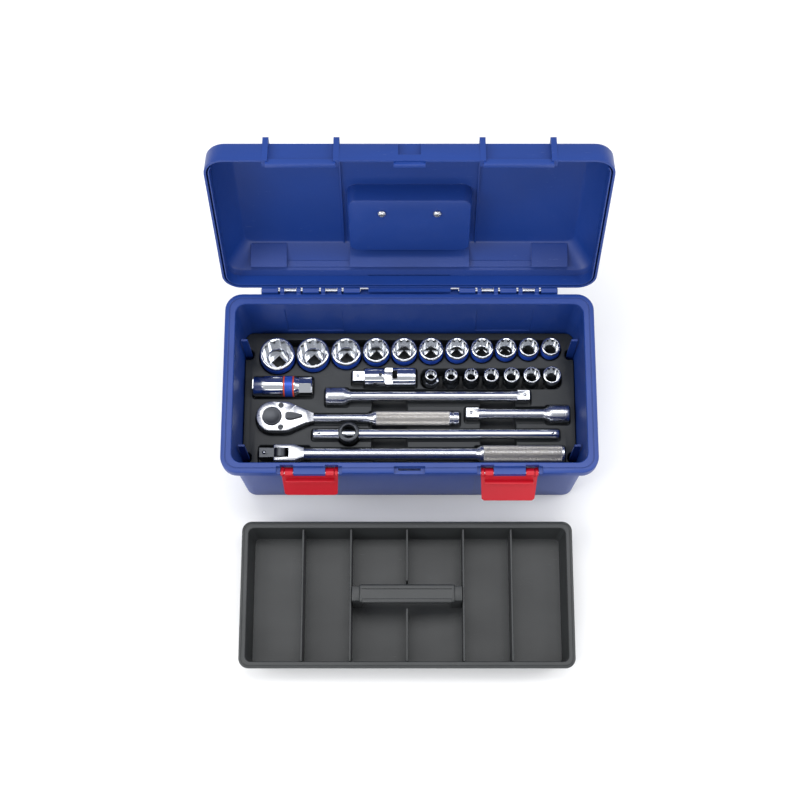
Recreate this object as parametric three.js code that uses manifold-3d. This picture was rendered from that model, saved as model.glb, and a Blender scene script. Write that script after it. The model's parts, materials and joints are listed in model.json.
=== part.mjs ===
// A socket wrench set in a hinged plastic tool case, with its lift-out tray standing in front of it.
// Millimetres, +Z up. The origin is the centre of the underside of the case, X runs along the case,
// and the lid is hinged along the rear, +Y, edge.
import * as THREE from "three";
import { mergeVertices } from "three/addons/utils/BufferGeometryUtils.js";
import Module from "manifold-3d";

const wasm = await Module();
wasm.setup();

// ---- case ----
const caseWidth = 438;
const caseDepth = 222;
const caseHeight = 150;
const caseWall = 2.8;
const caseFloor = 3;
const rimCorner = 20;
const rimBand = 13;
const rimOverhang = 10;
const rimSkin = 2.5;
const baseTaper = 4.5;
const touchGap = 0.4;
const pinRadius = 1.5;
const pinPlay = 0.3;
const pinSides = 8;

// ---- lid and its hinges ----
const hingeBehindRim = 4.5;
const lidOpenAngle = THREE.MathUtils.degToRad(103.2);
const lidSideOverhang = 1.5;
const lidFrontOverhang = 2.3;
const lidBand = 25;
const lidHeight = 53;
const lidWall = 2.5;
const lidCrownInset = 22;
const hingeSpacing = 235;
const knuckleSpan = 117;
const knuckleWidth = 19.5;
const knuckleRadius = 4;
const earWidth = 5;
const barePinLength = 14.5;
const stopTabWidth = 98;
const stopTabDrop = 4;
const hingeFlangeDrop = 3.2;
const hingeWebHalf = 6.8;
const hingeFlange = [-2.8, -0.3];
const panelRibSpacing = 155.4;

// ---- latches ----
const latchSpacing = 232;
const latchWidth = 66.4;
const latchTipWidth = 62.4;
const latchLength = 46;
const latchSkin = 2.5;
const latchOffset = 3.7;
const latchArmWidth = 14.3;
const latchPivotIn = 2.5;
const latchPivotDrop = 8.5;
const latchKnuckle = 3.5;
const latchSideGap = 0.5;
const recessWidth = 76;
const recessReach = 8;
const recessDrop = 5.5;
const catchLipHeight = 4.5;
const catchLipReach = 4.7;
const catchBayDepth = 7;
const hookReach = 5.5;
const hookThick = 3;
const hornWidth = 6.3;
const hornHeight = 35.5;
const hornTopBack = 8;
const frontCrown = 34;
const hornGap = 1.6;
const latchLeftAngle = THREE.MathUtils.degToRad(157);
const latchRightAngle = THREE.MathUtils.degToRad(146.5);

// ---- padlock hasp in the middle of the front ----
const haspWidth = 36;
const haspSlotWidth = 26;
const haspSlotDepth = 3;
const haspTabWidth = 24;

// ---- carry handle in the lid ----
const wellWidth = 140;
const wellLength = 90;
const wellRear = 40;
const wellDepth = 22.5;
const handleGrip = 12;
const handleArm = 8;
const handlePivotAlong = 113;
const handlePivotRadius = 3;
const bracketWidth = 88;
const bracketLength = 18;
const bracketHeight = 14;
const handleScrewSpacing = 63;
const handleScrewShank = 1.9;
const handleScrewHead = 4.8;
const handleScrewAlong = 108.5;

// ---- insert ----
const insertTop = 64;
const insertGap = 1;
const insertSkin = 2;
const ribWidth = 2.6;
const ribNotchWidth = 13;
const ribNotchGap = 2.5;
const ribSpacing = 133;
const ribReach = 9.2;
const ribTop = insertTop + 49;
const pocketPlay = 1.2;
const toolAxis = insertTop + 4;
const channelDepth = 20;
const channelWidth = 43;

// ---- sockets ----
const rearSizes = [32, 30, 27, 24, 23, 22, 21, 20, 19, 18, 17];
const frontSizes = [10, 11, 12, 13, 14, 15, 16];
const socketStandUp = 14;
const rearRowBack = 84;
const rearRowRight = 174;
const rearRowGap = 2.9;
const frontRowY = 35.3;
const frontRowRight = 174.5;
const frontRowGap = 2.7;
const driveSquare = 12.7;
const driveSquareHole = driveSquare + 0.2;
const driveEndRadius = driveSquareHole / Math.SQRT2 + 1.88;
const frontRowPitch = 2 * driveEndRadius + frontRowGap;
const driveHoleDepth = 14;

// ---- lift-out tray ----
const trayWidth = 400;
const trayDepth = 179;
const trayHeight = 45;
const trayRim = 8;
const traySkin = 2.5;
const trayCentreX = -3;
const trayCentreY = -231.3;
const trayTaper = 4;
const dividerThick = 2.5;
const dividerInner = 68;
const dividerOuter = 126;
const dividerDrop = 4;
const trayGripLength = 115;
const trayGripDepth = 22;
const trayGripThick = 11;
const trayGripTop = 50;
const trayLip = 4;
const trayPostInset = 2;

// ---- detent balls, pins and forks of the driving tools ----
const ballRadius = 1.9;
const ballSeatDepth = 3;
const ballProud = 0.7;
const ballFromEnd = 6.5;
const tangLength = 14.5;
const driveTangReach = 14;
const forkGap = 0.4;

// ---- spark plug socket, lying along X ----
const sparkX = -191;
const sparkY = 23.3;
const sparkLength = 71.5;
const sparkBody = 36;
const sparkBand = 14;
const sparkHexFlats = driveSquareHole + 7.1;
const sparkRadius = sparkHexFlats / 2 + 2.8;
const sparkHexLength = 16;
const sparkOpening = 19.5;
const rubberFrom = 24;
const rubberLength = 14;
const rubberBore = 5;

// ---- universal joint, lying along X ----
const jointX = -70;
const jointY = 35;
const jointSquareLength = 14.7;
const jointRadius = driveEndRadius;
const jointSocketRadius = driveEndRadius + 0.8;
const uprightPinX = jointX + 34.4;
const crossPinX = jointX + 44;
const jointEnd = jointX + 77.5;
const jointPinRadius = 2;
const crossHalf = 5;

// ---- extension bars, lying along X ----
// direction +1 points the driving square towards +X, and -1 towards -X.
const extensionCollar = 23;
const extensionNeck = 30;
const extensionShaft = 6.2;
const longExtension = { name: "long_extension", direction: 1, x: -102.5, length: 250, y: 10.4 };
const shortExtension = { name: "short_extension", direction: -1, x: 194.6, length: 126, y: -12.2 };

// ---- ratchet, lying along X with its drive square down ----
const ratchetY = -17.8;
const ratchetHeadX = -167.4;
const ratchetHeadRadius = 18.8;
const ratchetFlatReach = 17;
const ratchetThroatHalf = 8.2;
const ratchetHalfThick = 9;
const ratchetTop = toolAxis + ratchetHalfThick;
const ratchetBottom = toolAxis - ratchetHalfThick;
const ratchetNeckX = ratchetHeadX + 50.5;
const ratchetShaftX = ratchetNeckX - 4;
const ratchetThroatFrom = ratchetHeadX + 42;
const gearRadius = 12.4;
const gearTeeth = 24;
const gearToothDepth = 1.2;
const gearCavity = 13;
const hubRadius = 11;
const leverX = ratchetHeadX + 21;
const leverReach = 16.5;
const leverStem = 3;
const ratchetGripFrom = -42.8;
const ratchetGripTo = 51;
const ratchetEnd = 60.5;
const ratchetGripRadius = 8.6;
const ratchetShaftRadius = 5;
const coverThick = 2;
const ratchetScrews = [["rear", 13.9], ["front", -13.9]];
const ratchetScrewX = ratchetHeadX + 11;
const ratchetScrewRadius = 3.2;

// ---- sliding T-bar, lying along X ----
const barFrom = -118;
const barLength = 300;
const barY = -38;
const barRadius = 6.2;
const barBallInset = 8;
const slideHeadX = barFrom + 44.1;
const slideHeadRadius = 12.8;
const slideHeadBore = 8;
const slideHeadHalf = 11;
const slideHeadTop = toolAxis + slideHeadHalf;

// ---- flex handle, lying along X ----
const flexY = -63.2;
const flexFrom = -182.5;
const flexPinX = flexFrom + 25;
const flexForkEnd = flexPinX - 7;
const flexForkRoot = flexPinX + 12;
const flexForkRadius = 10.4;
const flexForkFlat = 6.8;
const flexNeckReach = 11.2;
const flexHeadHalf = 5.6;
const flexBarrelRadius = 9;
const flexShaftRadius = 7;
const flexEnd = 188;
const flexGripRadius = 10.2;
const flexGripFrom = 87.7;
const flexPinRadius = 2.5;

// ---- pockets ----
const channelCentres = [-24.5, 108.3];
const driveWellRadius = driveSquare / Math.SQRT2 + 1.5;
const rearTroughFloor = insertTop - 22;

const rearDiameter = (size) => 1.26 * size + 2;
const socketHeight = (size) => (size >= 27 ? 42 + (size - 27) * 0.6 : size >= 22 ? 40 : 38);
const seatFloor = (size) => insertTop + socketStandUp - socketHeight(size) - touchGap;

const rimRear = caseDepth / 2;
const hingeY = rimRear + hingeBehindRim;
const rimUnder = caseHeight - rimBand;
const wallHalfWidth = caseWidth / 2 - rimOverhang;
const wallHalfDepth = caseDepth / 2 - rimOverhang;

const object = new THREE.Group();

// ---------------------------------------------------------------- solids

function solidOf(geometry) {
  const bare = new THREE.BufferGeometry();
  bare.setAttribute("position", geometry.attributes.position.clone());
  if (geometry.index) bare.setIndex(geometry.index.clone());
  const merged = mergeVertices(bare, 1e-4);
  const triVerts = Uint32Array.from(merged.index.array);
  const vertProperties = Float32Array.from(merged.attributes.position.array);
  const solid = new wasm.Manifold(new wasm.Mesh({ numProp: 3, vertProperties, triVerts }));
  if (solid.volume() > 0) return solid;
  for (let i = 0; i < triVerts.length; i += 3) {
    [triVerts[i], triVerts[i + 1]] = [triVerts[i + 1], triVerts[i]];
  }
  return new wasm.Manifold(new wasm.Mesh({ numProp: 3, vertProperties, triVerts }));
}

function geometryOf(solid) {
  const mesh = solid.getMesh();
  const geometry = new THREE.BufferGeometry();
  geometry.setAttribute(
    "position", new THREE.BufferAttribute(Float32Array.from(mesh.vertProperties), 3),
  );
  geometry.setIndex(new THREE.BufferAttribute(Uint32Array.from(mesh.triVerts), 1));
  geometry.computeVertexNormals();
  return geometry;
}

function joined(solids) {
  return solids.reduce((whole, next) => whole.add(next));
}

function block(x0, x1, y0, y1, z0, z1) {
  const geometry = new THREE.BoxGeometry(Math.abs(x1 - x0), Math.abs(y1 - y0), Math.abs(z1 - z0));
  geometry.translate((x0 + x1) / 2, (y0 + y1) / 2, (z0 + z1) / 2);
  return solidOf(geometry);
}

// A right-handed frame whose third axis runs along X, Y or Z.
const alongAxis = {
  x: new THREE.Matrix4().makeBasis(
    new THREE.Vector3(0, 1, 0),
    new THREE.Vector3(0, 0, 1),
    new THREE.Vector3(1, 0, 0),
  ),
  y: new THREE.Matrix4().makeBasis(
    new THREE.Vector3(0, 0, 1),
    new THREE.Vector3(1, 0, 0),
    new THREE.Vector3(0, 1, 0),
  ),
  z: new THREE.Matrix4(),
};

function circle(radius, sides, turn = 0) {
  const points = [];
  for (let i = 0; i < sides; i += 1) {
    const angle = turn + (i * 2 * Math.PI) / sides;
    points.push(new THREE.Vector2(radius * Math.cos(angle), radius * Math.sin(angle)));
  }
  return points;
}

function roundedRect(width, depth, radius, centreX = 0, centreY = 0, steps = 3) {
  const points = [];
  const corners = [
    [1, 1, 0],
    [-1, 1, 90],
    [-1, -1, 180],
    [1, -1, 270],
  ];
  for (const [sideX, sideY, start] of corners) {
    for (let i = 0; i <= steps; i += 1) {
      const angle = THREE.MathUtils.degToRad(start + (90 * i) / steps);
      const x = centreX + sideX * (width / 2 - radius) + radius * Math.cos(angle);
      const y = centreY + sideY * (depth / 2 - radius) + radius * Math.sin(angle);
      points.push(new THREE.Vector2(x, y));
    }
  }
  return points;
}

// A closed solid through outlines of the same number of points, each at its own height.
function loft(sections, axis = "z", at = [0, 0, 0]) {
  const count = sections[0].outline.length;
  const clockwise = THREE.ShapeUtils.isClockWise(sections[0].outline);
  if (clockwise) {
    const turnedRound = sections.map(({ outline, z }) => ({ outline: [...outline].reverse(), z }));
    return loft(turnedRound, axis, at);
  }
  const positions = [];
  const index = [];
  for (const { outline, z } of sections) {
    for (const point of outline) positions.push(point.x, point.y, z);
  }
  for (let s = 0; s + 1 < sections.length; s += 1) {
    for (let i = 0; i < count; i += 1) {
      const a = s * count + i;
      const b = s * count + ((i + 1) % count);
      index.push(a, b, b + count, a, b + count, a + count);
    }
  }
  const last = (sections.length - 1) * count;
  for (const [a, b, c] of THREE.ShapeUtils.triangulateShape(sections[0].outline, [])) {
    index.push(a, c, b);
  }
  const lastOutline = sections[sections.length - 1].outline;
  for (const [a, b, c] of THREE.ShapeUtils.triangulateShape(lastOutline, [])) {
    index.push(last + a, last + b, last + c);
  }
  const geometry = new THREE.BufferGeometry();
  geometry.setAttribute("position", new THREE.Float32BufferAttribute(positions, 3));
  geometry.setIndex(index);
  geometry.applyMatrix4(alongAxis[axis]);
  geometry.translate(...at);
  return solidOf(geometry);
}

function rod(axis, radius, from, to, at, sides = 16, turn = 0) {
  const outline = circle(radius, sides, turn);
  return loft([{ outline, z: from }, { outline, z: to }], axis, at);
}

// A turned shape: rings of [place along the axis, radius].
function turned(axis, rings, at, sides = 16) {
  return loft(rings.map(([z, radius]) => ({ outline: circle(radius, sides), z })), axis, at);
}

function square(axis, side, from, to, at, turn = 0) {
  return rod(axis, side / Math.SQRT2, from, to, at, 4, Math.PI / 4 + turn);
}

// An outline in the Y-Z plane drawn out along X.
function profileAlongX(points, x0, x1) {
  const outline = points.map(([y, z]) => new THREE.Vector2(y, z));
  return loft([{ outline, z: x0 }, { outline, z: x1 }], "x");
}

function addPart(name, solid, color, roughness, metalness, parent = object) {
  const material = new THREE.MeshStandardMaterial({ color, roughness, metalness });
  const mesh = new THREE.Mesh(geometryOf(solid), material);
  mesh.name = name;
  parent.add(mesh);
  return mesh;
}

const blue = 0x1f3f86;
const red = 0xc01c30;
const black = 0x24272a;
const grey = 0x3a3a3c;
const chrome = 0xd8dade;
const darkSteel = 0x33363a;

// ---------------------------------------------------------------- case body

// Half the size of the inside of the case at a height, measured from the outer sizes and the draft.
function insideAt(z, gap = 0) {
  const draft = baseTaper * (1 - z / rimUnder);
  return [
    2 * (wallHalfWidth - draft - caseWall - gap),
    2 * (wallHalfDepth - draft - caseWall - gap),
  ];
}

function insideLoft(z0, z1, gap, corner) {
  return loft([z0, z1].map((z) => ({ outline: roundedRect(...insideAt(z, gap), corner), z })));
}

const latchPivotY = -rimRear + latchPivotIn;
const latchPivotZ = caseHeight - latchPivotDrop;
const lugHalf = latchWidth / 2 - latchArmWidth - latchSideGap;
const notchHalf = latchWidth / 2 + latchSideGap;

function knuckleCentres(side) {
  const pitch = (knuckleSpan - knuckleWidth) / 2;
  return [-pitch, 0, pitch].map((offset) => (side * hingeSpacing) / 2 + offset);
}

function earCentres(side) {
  const pitch = (knuckleSpan - knuckleWidth) / 2;
  const out = barePinLength / 2 + earWidth / 2;
  const stations = [-pitch / 2, pitch / 2];
  return stations.flatMap((s) => [s - out, s + out]).map(
    (offset) => (side * hingeSpacing) / 2 + offset,
  );
}

function buildCaseBody() {
  const base = roundedRect(
    caseWidth - 2 * (rimOverhang + baseTaper), caseDepth - 2 * (rimOverhang + baseTaper), 14,
  );
  const top = roundedRect(2 * wallHalfWidth, 2 * wallHalfDepth, rimCorner - rimOverhang / 2);
  const tub = loft(
    [{ outline: base, z: 0 }, { outline: top, z: rimUnder }, { outline: top, z: caseHeight }],
  );
  const rimOutline = roundedRect(caseWidth, caseDepth, rimCorner);
  const rim = loft([{ outline: rimOutline, z: rimUnder }, { outline: rimOutline, z: caseHeight }]);
  const gutterOutline = roundedRect(
    caseWidth - 2 * rimSkin, caseDepth - 2 * rimSkin, rimCorner - rimSkin,
  );
  const gutter = loft(
    [{ outline: gutterOutline, z: rimUnder - 1 }, { outline: gutterOutline, z: caseHeight - rimSkin }],
  );
  const inside = roundedRect(...insideAt(rimUnder), rimCorner - rimOverhang / 2 - caseWall);
  const cavity = loft([
    { outline: roundedRect(...insideAt(caseFloor), 14 - caseWall), z: caseFloor },
    { outline: inside, z: rimUnder },
    { outline: inside, z: caseHeight + 1 },
  ]);
  let body = tub.add(rim.subtract(gutter));
  const frontY = -rimRear;
  const wallY = -wallHalfDepth;
  for (const side of [-1, 1]) {
    const x = (side * latchSpacing) / 2;
    const half = recessWidth / 2 + rimSkin;
    body = body.add(block(x - half, x + half, frontY, wallY + 1, rimUnder, caseHeight - 1));
  }
  const haspHalf = haspWidth / 2 + rimSkin;
  body = body.add(block(-haspHalf, haspHalf, frontY, wallY + 1, rimUnder, caseHeight - 1));
  for (const side of [-1, 1]) {
    for (const x of earCentres(side)) {
      const ear = rod(
        "x", knuckleRadius, x - earWidth / 2, x + earWidth / 2, [0, hingeY, caseHeight], 12,
      );
      const web = block(
        x - earWidth / 2, x + earWidth / 2, rimRear - 1, hingeY, caseHeight - 8, caseHeight - 0.1,
      );
      body = body.add(ear.add(web));
    }
    const from = (side * hingeSpacing) / 2 - knuckleSpan;
    const bore = rod(
      "x", pinRadius + pinPlay, from, from + 2 * knuckleSpan, [0, hingeY, caseHeight], pinSides,
    );
    body = body.subtract(bore);
  }
  body = body.subtract(cavity);
  for (const side of [-1, 1]) {
    const x = (side * latchSpacing) / 2;
    const half = recessWidth / 2;
    body = body.subtract(
      block(
        x - half, x + half, frontY - 1, frontY + recessReach, caseHeight - recessDrop, caseHeight + 1,
      ),
    );
    for (const arm of [-1, 1]) {
      body = body.subtract(
        block(
          x + arm * lugHalf, x + arm * notchHalf, frontY - 1, wallY - 0.3, rimUnder - 1, caseHeight + 1,
        ),
      );
    }
    body = body.subtract(
      rod(
        "x",
        pinRadius + pinPlay,
        x - half - 0.5,
        x + half + 0.5,
        [0, latchPivotY, latchPivotZ],
        pinSides,
      ),
    );
  }
  body = body.subtract(
    block(
      -haspWidth / 2,
      haspWidth / 2,
      frontY - 1,
      frontY + recessReach,
      caseHeight - recessDrop,
      caseHeight + 1,
    ),
  );
  body = body.subtract(
    block(
      -haspSlotWidth / 2, haspSlotWidth / 2,
      frontY + recessReach - 1 - haspSlotDepth, frontY + recessReach - 1,
      rimUnder - 1, caseHeight,
    ),
  );
  const [insideWidth] = insideAt(insertTop);
  for (const sideX of [-1, 1]) {
    for (const sideY of [-1, 1]) {
      const y = (sideY * ribSpacing) / 2;
      const inner = sideX * (insideWidth / 2 - ribReach);
      const outer = sideX * (wallHalfWidth - baseTaper - caseWall / 2);
      body = body.add(block(inner, outer, y - ribWidth / 2, y + ribWidth / 2, caseFloor / 2, ribTop));
    }
  }
  return body;
}

addPart("case_body", buildCaseBody(), blue, 0.45, 0);

for (const [side, name] of [[-1, "left"], [1, "right"]]) {
  const middle = (side * hingeSpacing) / 2;
  const half = knuckleSpan / 2 + 1;
  const hingePin = rod("x", pinRadius, middle - half, middle + half, [0, hingeY, caseHeight], pinSides);
  addPart(`hinge_pin_${name}`, hingePin, chrome, 0.3, 1);
  const latchMiddle = (side * latchSpacing) / 2;
  const reach = recessWidth / 2;
  const latchPin = rod(
    "x", pinRadius, latchMiddle - reach, latchMiddle + reach, [0, latchPivotY, latchPivotZ], pinSides,
  );
  addPart(`latch_pin_${name}`, latchPin, chrome, 0.3, 1);
}

// ---------------------------------------------------------------- lid
// The lid is drawn closed, with the hinge axis as its origin: -Y towards the front, +Z up.

const lidGroup = new THREE.Group();
lidGroup.position.set(0, hingeY, caseHeight);
lidGroup.rotation.x = -lidOpenAngle;
object.add(lidGroup);

const lidFront = hingeBehindRim + caseDepth + lidFrontOverhang;
const lidRear = hingeBehindRim;
const lidWidth = caseWidth + 2 * lidSideOverhang;

function lidOutline(width, rear, front, corner) {
  return roundedRect(width, front - rear, corner, 0, -(front + rear) / 2);
}

function lidShell(inset, z0, z1) {
  const crown = lidCrownInset + inset;
  return loft([
    {
      outline: lidOutline(
        lidWidth - 2 * inset, lidRear + inset, lidFront - inset, rimCorner + 2 - inset,
      ),
      z: z0,
    },
    {
      outline: lidOutline(
        lidWidth - 2 - 2 * inset, lidRear + inset, lidFront - 1 - inset, rimCorner + 1 - inset,
      ),
      z: lidBand,
    },
    {
      outline: lidOutline(lidWidth - 2 * crown, lidRear + crown, lidFront - frontCrown - inset, 14 - inset),
      z: z1,
    },
  ]);
}

const bayWall = lidFront - catchBayDepth;
const bayHalf = latchWidth / 2 + hornGap;
const wellFloor = lidHeight - wellDepth;
const handlePivotUp = wellFloor + bracketHeight / 2 + touchGap;

function buildLid() {
  const outer = lidShell(0, touchGap, lidHeight);
  let lid = outer.subtract(lidShell(lidWall, touchGap - 1, lidHeight - lidWall));
  for (const side of [-1, 1]) {
    const x = (side * latchSpacing) / 2;
    const reach = bayHalf + hornWidth;
    const backing = block(x - reach, x + reach, -lidFront, -bayWall + lidWall, touchGap, lidHeight);
    lid = lid.add(backing.intersect(outer));
    lid = lid.subtract(block(x - bayHalf, x + bayHalf, -lidFront - 5, -bayWall, -1, lidHeight));
    for (const horn of [-1, 1]) {
      const from = x + horn * bayHalf;
      lid = lid.add(
        profileAlongX(
          [
            [-bayWall + lidWall, touchGap],
            [-lidFront, touchGap],
            [-lidFront, hornHeight - 3],
            [-lidFront + 3, hornHeight],
            [-bayWall + hornTopBack, hornHeight],
            [-bayWall + lidWall, lidBand],
          ],
          Math.min(from, from + horn * hornWidth),
          Math.max(from, from + horn * hornWidth),
        ),
      );
    }
    const lipHalf = recessWidth / 2 - latchSideGap;
    const lipFront = bayWall + catchLipReach;
    const innerHalf = bayHalf + 0.5;
    lid = lid.add(
      block(x - innerHalf, x + innerHalf, -lipFront, -bayWall + 0.5, touchGap, catchLipHeight),
    );
    lid = lid.add(
      block(
        x - lipHalf,
        x + lipHalf,
        -lipFront,
        -bayWall + 0.5,
        touchGap + 0.5 - stopTabDrop,
        touchGap + 0.5,
      ),
    );
  }
  const notchHalfWidth = haspTabWidth / 2;
  const notchBacking = block(
    -notchHalfWidth - lidWall, notchHalfWidth + lidWall,
    -lidFront, -bayWall + lidWall,
    touchGap, lidHeight,
  );
  lid = lid.add(notchBacking.intersect(outer));
  lid = lid.subtract(
    block(-notchHalfWidth, notchHalfWidth, -lidFront - 5, -bayWall, 2 * catchLipHeight, lidHeight),
  );
  lid = lid.add(
    block(
      -haspWidth / 2 + 1,
      haspWidth / 2 - 1,
      -bayWall - 4,
      -bayWall + 0.5,
      touchGap + 0.5 - stopTabDrop,
      touchGap + 0.5,
    ),
  );
  const wellCentre = -(wellRear + wellLength / 2);
  const wellOutside = roundedRect(wellWidth, wellLength, 10, 0, wellCentre);
  const wellInside = roundedRect(wellWidth - 2 * lidWall, wellLength - 2 * lidWall, 8, 0, wellCentre);
  lid = lid.add(
    loft(
      [{ outline: wellOutside, z: wellFloor - lidWall }, { outline: wellOutside, z: lidHeight - 1 }],
    ),
  );
  lid = lid.subtract(
    loft([{ outline: wellInside, z: wellFloor }, { outline: wellInside, z: lidHeight + 1 }]),
  );
  for (const side of [-1, 1]) {
    const x = (side * handleScrewSpacing) / 2;
    lid = lid.subtract(
      rod("z", handleScrewShank + pinPlay, wellFloor - 5, wellFloor + 1, [x, -handleScrewAlong, 0], 12),
    );
    const ribX = (side * panelRibSpacing) / 2;
    lid = lid.add(
      block(
        ribX - 1,
        ribX + 1,
        -lidFront + frontCrown + 8,
        -lidRear - lidCrownInset - 4,
        lidHeight - 6,
        lidHeight - 1,
      ),
    );
    for (const centre of knuckleCentres(side)) {
      const x0 = centre - knuckleWidth / 2;
      const x1 = centre + knuckleWidth / 2;
      const knuckle = rod("x", knuckleRadius, x0, x1, [0, 0, 0], 12);
      lid = lid.add(knuckle.add(block(x0, x1, -lidRear - 1, 0, touchGap, knuckleRadius)));
    }
    const centres = knuckleCentres(side);
    for (let i = 1; i < centres.length; i += 1) {
      const middle = (centres[i - 1] + centres[i]) / 2;
      lid = lid.add(
        block(
          middle - hingeWebHalf, middle + hingeWebHalf,
          -lidRear - 1, -(pinRadius + 2 * pinPlay),
          touchGap, knuckleRadius,
        ),
      );
    }
    const from = (side * hingeSpacing) / 2 - knuckleSpan;
    lid = lid.subtract(
      rod("x", pinRadius + pinPlay, from, from + 2 * knuckleSpan, [0, 0, 0], pinSides),
    );
  }
  lid = lid.add(
    block(
      -stopTabWidth / 2, stopTabWidth / 2, -lidRear - 1, -lidRear + 2.5, touchGap, 2 * catchLipHeight,
    ),
  );
  return lid.add(
    block(-stopTabWidth / 2, stopTabWidth / 2, ...hingeFlange, -hingeFlangeDrop, 2 * catchLipHeight),
  );
}

addPart("case_lid", buildLid(), blue, 0.45, 0, lidGroup);

// ---------------------------------------------------------------- carry handle, folded along +Y

function buildBracket() {
  const z0 = wellFloor + touchGap;
  let bracket = block(
    -bracketWidth / 2, bracketWidth / 2,
    -handlePivotAlong - bracketLength / 2 + 2, -handlePivotAlong + bracketLength / 2 + 2,
    z0, z0 + bracketHeight,
  );
  for (const side of [-1, 1]) {
    const at = [0, -handlePivotAlong, handlePivotUp];
    const ends = [side * (bracketWidth / 2 - 9), side * (bracketWidth / 2 + 1)].sort((a, b) => a - b);
    bracket = bracket.subtract(rod("x", handlePivotRadius + pinPlay, ends[0], ends[1], at, 12));
    const x = (side * handleScrewSpacing) / 2;
    bracket = bracket.subtract(
      rod("z", handleScrewShank + pinPlay, z0 - 1, z0 + 9, [x, -handleScrewAlong, 0], 12),
    );
  }
  return bracket;
}

addPart("handle_bracket", buildBracket(), black, 0.6, 0, lidGroup);

for (const [side, name] of [[-1, "left"], [1, "right"]]) {
  const headTop = wellFloor - lidWall - touchGap;
  const screw = turned(
    "z",
    [
      [headTop - 3.2, 2.8],
      [headTop - 2.2, handleScrewHead - 0.6],
      [headTop - 0.6, handleScrewHead],
      [headTop, handleScrewHead],
      [headTop, handleScrewShank],
      [wellFloor + 8, handleScrewShank],
    ],
    [(side * handleScrewSpacing) / 2, -handleScrewAlong, 0],
    16,
  );
  const x = (side * handleScrewSpacing) / 2;
  const slotZ = headTop - 3.4;
  const cross = joined([
    block(x - 2.2, x + 2.2, -handleScrewAlong - 0.5, -handleScrewAlong + 0.5, slotZ, slotZ + 1.6),
    block(x - 0.5, x + 0.5, -handleScrewAlong - 2.2, -handleScrewAlong + 2.2, slotZ, slotZ + 1.6),
  ]);
  addPart(`handle_screw_${name}`, screw.subtract(cross), chrome, 0.3, 1, lidGroup);
}

const handleGroup = new THREE.Group();
handleGroup.position.set(0, -handlePivotAlong, handlePivotUp);
handleGroup.rotation.x = lidOpenAngle - Math.PI / 2;
lidGroup.add(handleGroup);

function buildHandle() {
  const armInner = bracketWidth / 2 + 1;
  const armOuter = armInner + handleArm;
  const gripY = wellLength - (wellRear + wellLength - handlePivotAlong) - lidWall - handleGrip - 2;
  const pieces = [];
  for (const side of [-1, 1]) {
    const ends = [side * armInner, side * armOuter].sort((a, b) => a - b);
    pieces.push(rod("x", 5.5, ends[0], ends[1], [0, 0, 0], 12));
    pieces.push(block(ends[0], ends[1], 0, gripY, -4, 4));
    const stub = [side * (armInner - 8), side * (armInner + 1)].sort((a, b) => a - b);
    pieces.push(rod("x", handlePivotRadius, stub[0], stub[1], [0, 0, 0], 12));
  }
  pieces.push(
    loft(
      [-armOuter, -armOuter + 3, armOuter - 3, armOuter].map((z, i) => ({
        outline: circle(i % 3 ? handleGrip / 2 : handleGrip / 2 - 2, 12),
        z,
      })),
      "x",
      [0, gripY, 0],
    ),
  );
  return joined(pieces);
}

addPart("carry_handle", buildHandle(), blue, 0.45, 0, handleGroup);

// ---------------------------------------------------------------- latches, drawn closed and swung open

function buildLatch() {
  const halves = (t) => {
    const share = t / latchLength;
    return (latchWidth * (1 - share) + latchTipWidth * share) / 2;
  };
  const inner = -latchOffset;
  const outer = -latchOffset - latchSkin;
  const plateStart = 8;
  const outline = [
    new THREE.Vector2(-halves(plateStart), plateStart),
    new THREE.Vector2(halves(plateStart), plateStart),
    new THREE.Vector2(halves(latchLength), latchLength - 3),
    new THREE.Vector2(halves(latchLength) - 3, latchLength),
    new THREE.Vector2(-halves(latchLength) + 3, latchLength),
    new THREE.Vector2(-halves(latchLength), latchLength - 3),
  ];
  const geometry = new THREE.ExtrudeGeometry(
    new THREE.Shape(outline), { depth: latchSkin, bevelEnabled: false },
  );
  geometry.rotateX(Math.PI / 2);
  geometry.translate(0, inner, 0);
  const pieces = [solidOf(geometry)];
  for (const side of [-1, 1]) {
    const ends = [
      (side * latchWidth) / 2, side * (latchWidth / 2 - latchArmWidth),
    ].sort((a, b) => a - b);
    pieces.push(rod("x", latchKnuckle, ends[0], ends[1], [0, 0, 0], 12));
    pieces.push(block(ends[0], ends[1], outer, 0, -2.5, 2.5));
    pieces.push(block(ends[0], ends[1], outer, inner, -2.5, plateStart + 1));
  }
  const hookBottom = latchPivotDrop + catchLipHeight + 0.6;
  const hookHalf = latchTipWidth / 2 - 3;
  pieces.push(
    block(-hookHalf, hookHalf, inner - 0.5, inner + hookReach, hookBottom, hookBottom + hookThick),
  );
  const bore = rod("x", pinRadius + pinPlay, -latchWidth, latchWidth, [0, 0, 0], pinSides);
  return joined(pieces).subtract(bore);
}

for (const [side, name, angle] of [[-1, "left", latchLeftAngle], [1, "right", latchRightAngle]]) {
  const latchGroup = new THREE.Group();
  latchGroup.position.set((side * latchSpacing) / 2, latchPivotY, latchPivotZ);
  latchGroup.rotation.x = angle;
  object.add(latchGroup);
  addPart(`latch_${name}`, buildLatch(), red, 0.4, 0, latchGroup);
}

// ---------------------------------------------------------------- sockets

function rearRowCentres() {
  const places = [];
  let x = rearRowRight;
  for (let i = rearSizes.length - 1; i >= 0; i -= 1) {
    places.unshift({ size: rearSizes[i], x, y: rearRowBack - rearDiameter(rearSizes[i]) / 2 });
    if (i > 0) x -= (rearDiameter(rearSizes[i]) + rearDiameter(rearSizes[i - 1])) / 2 + rearRowGap;
  }
  return places;
}

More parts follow.
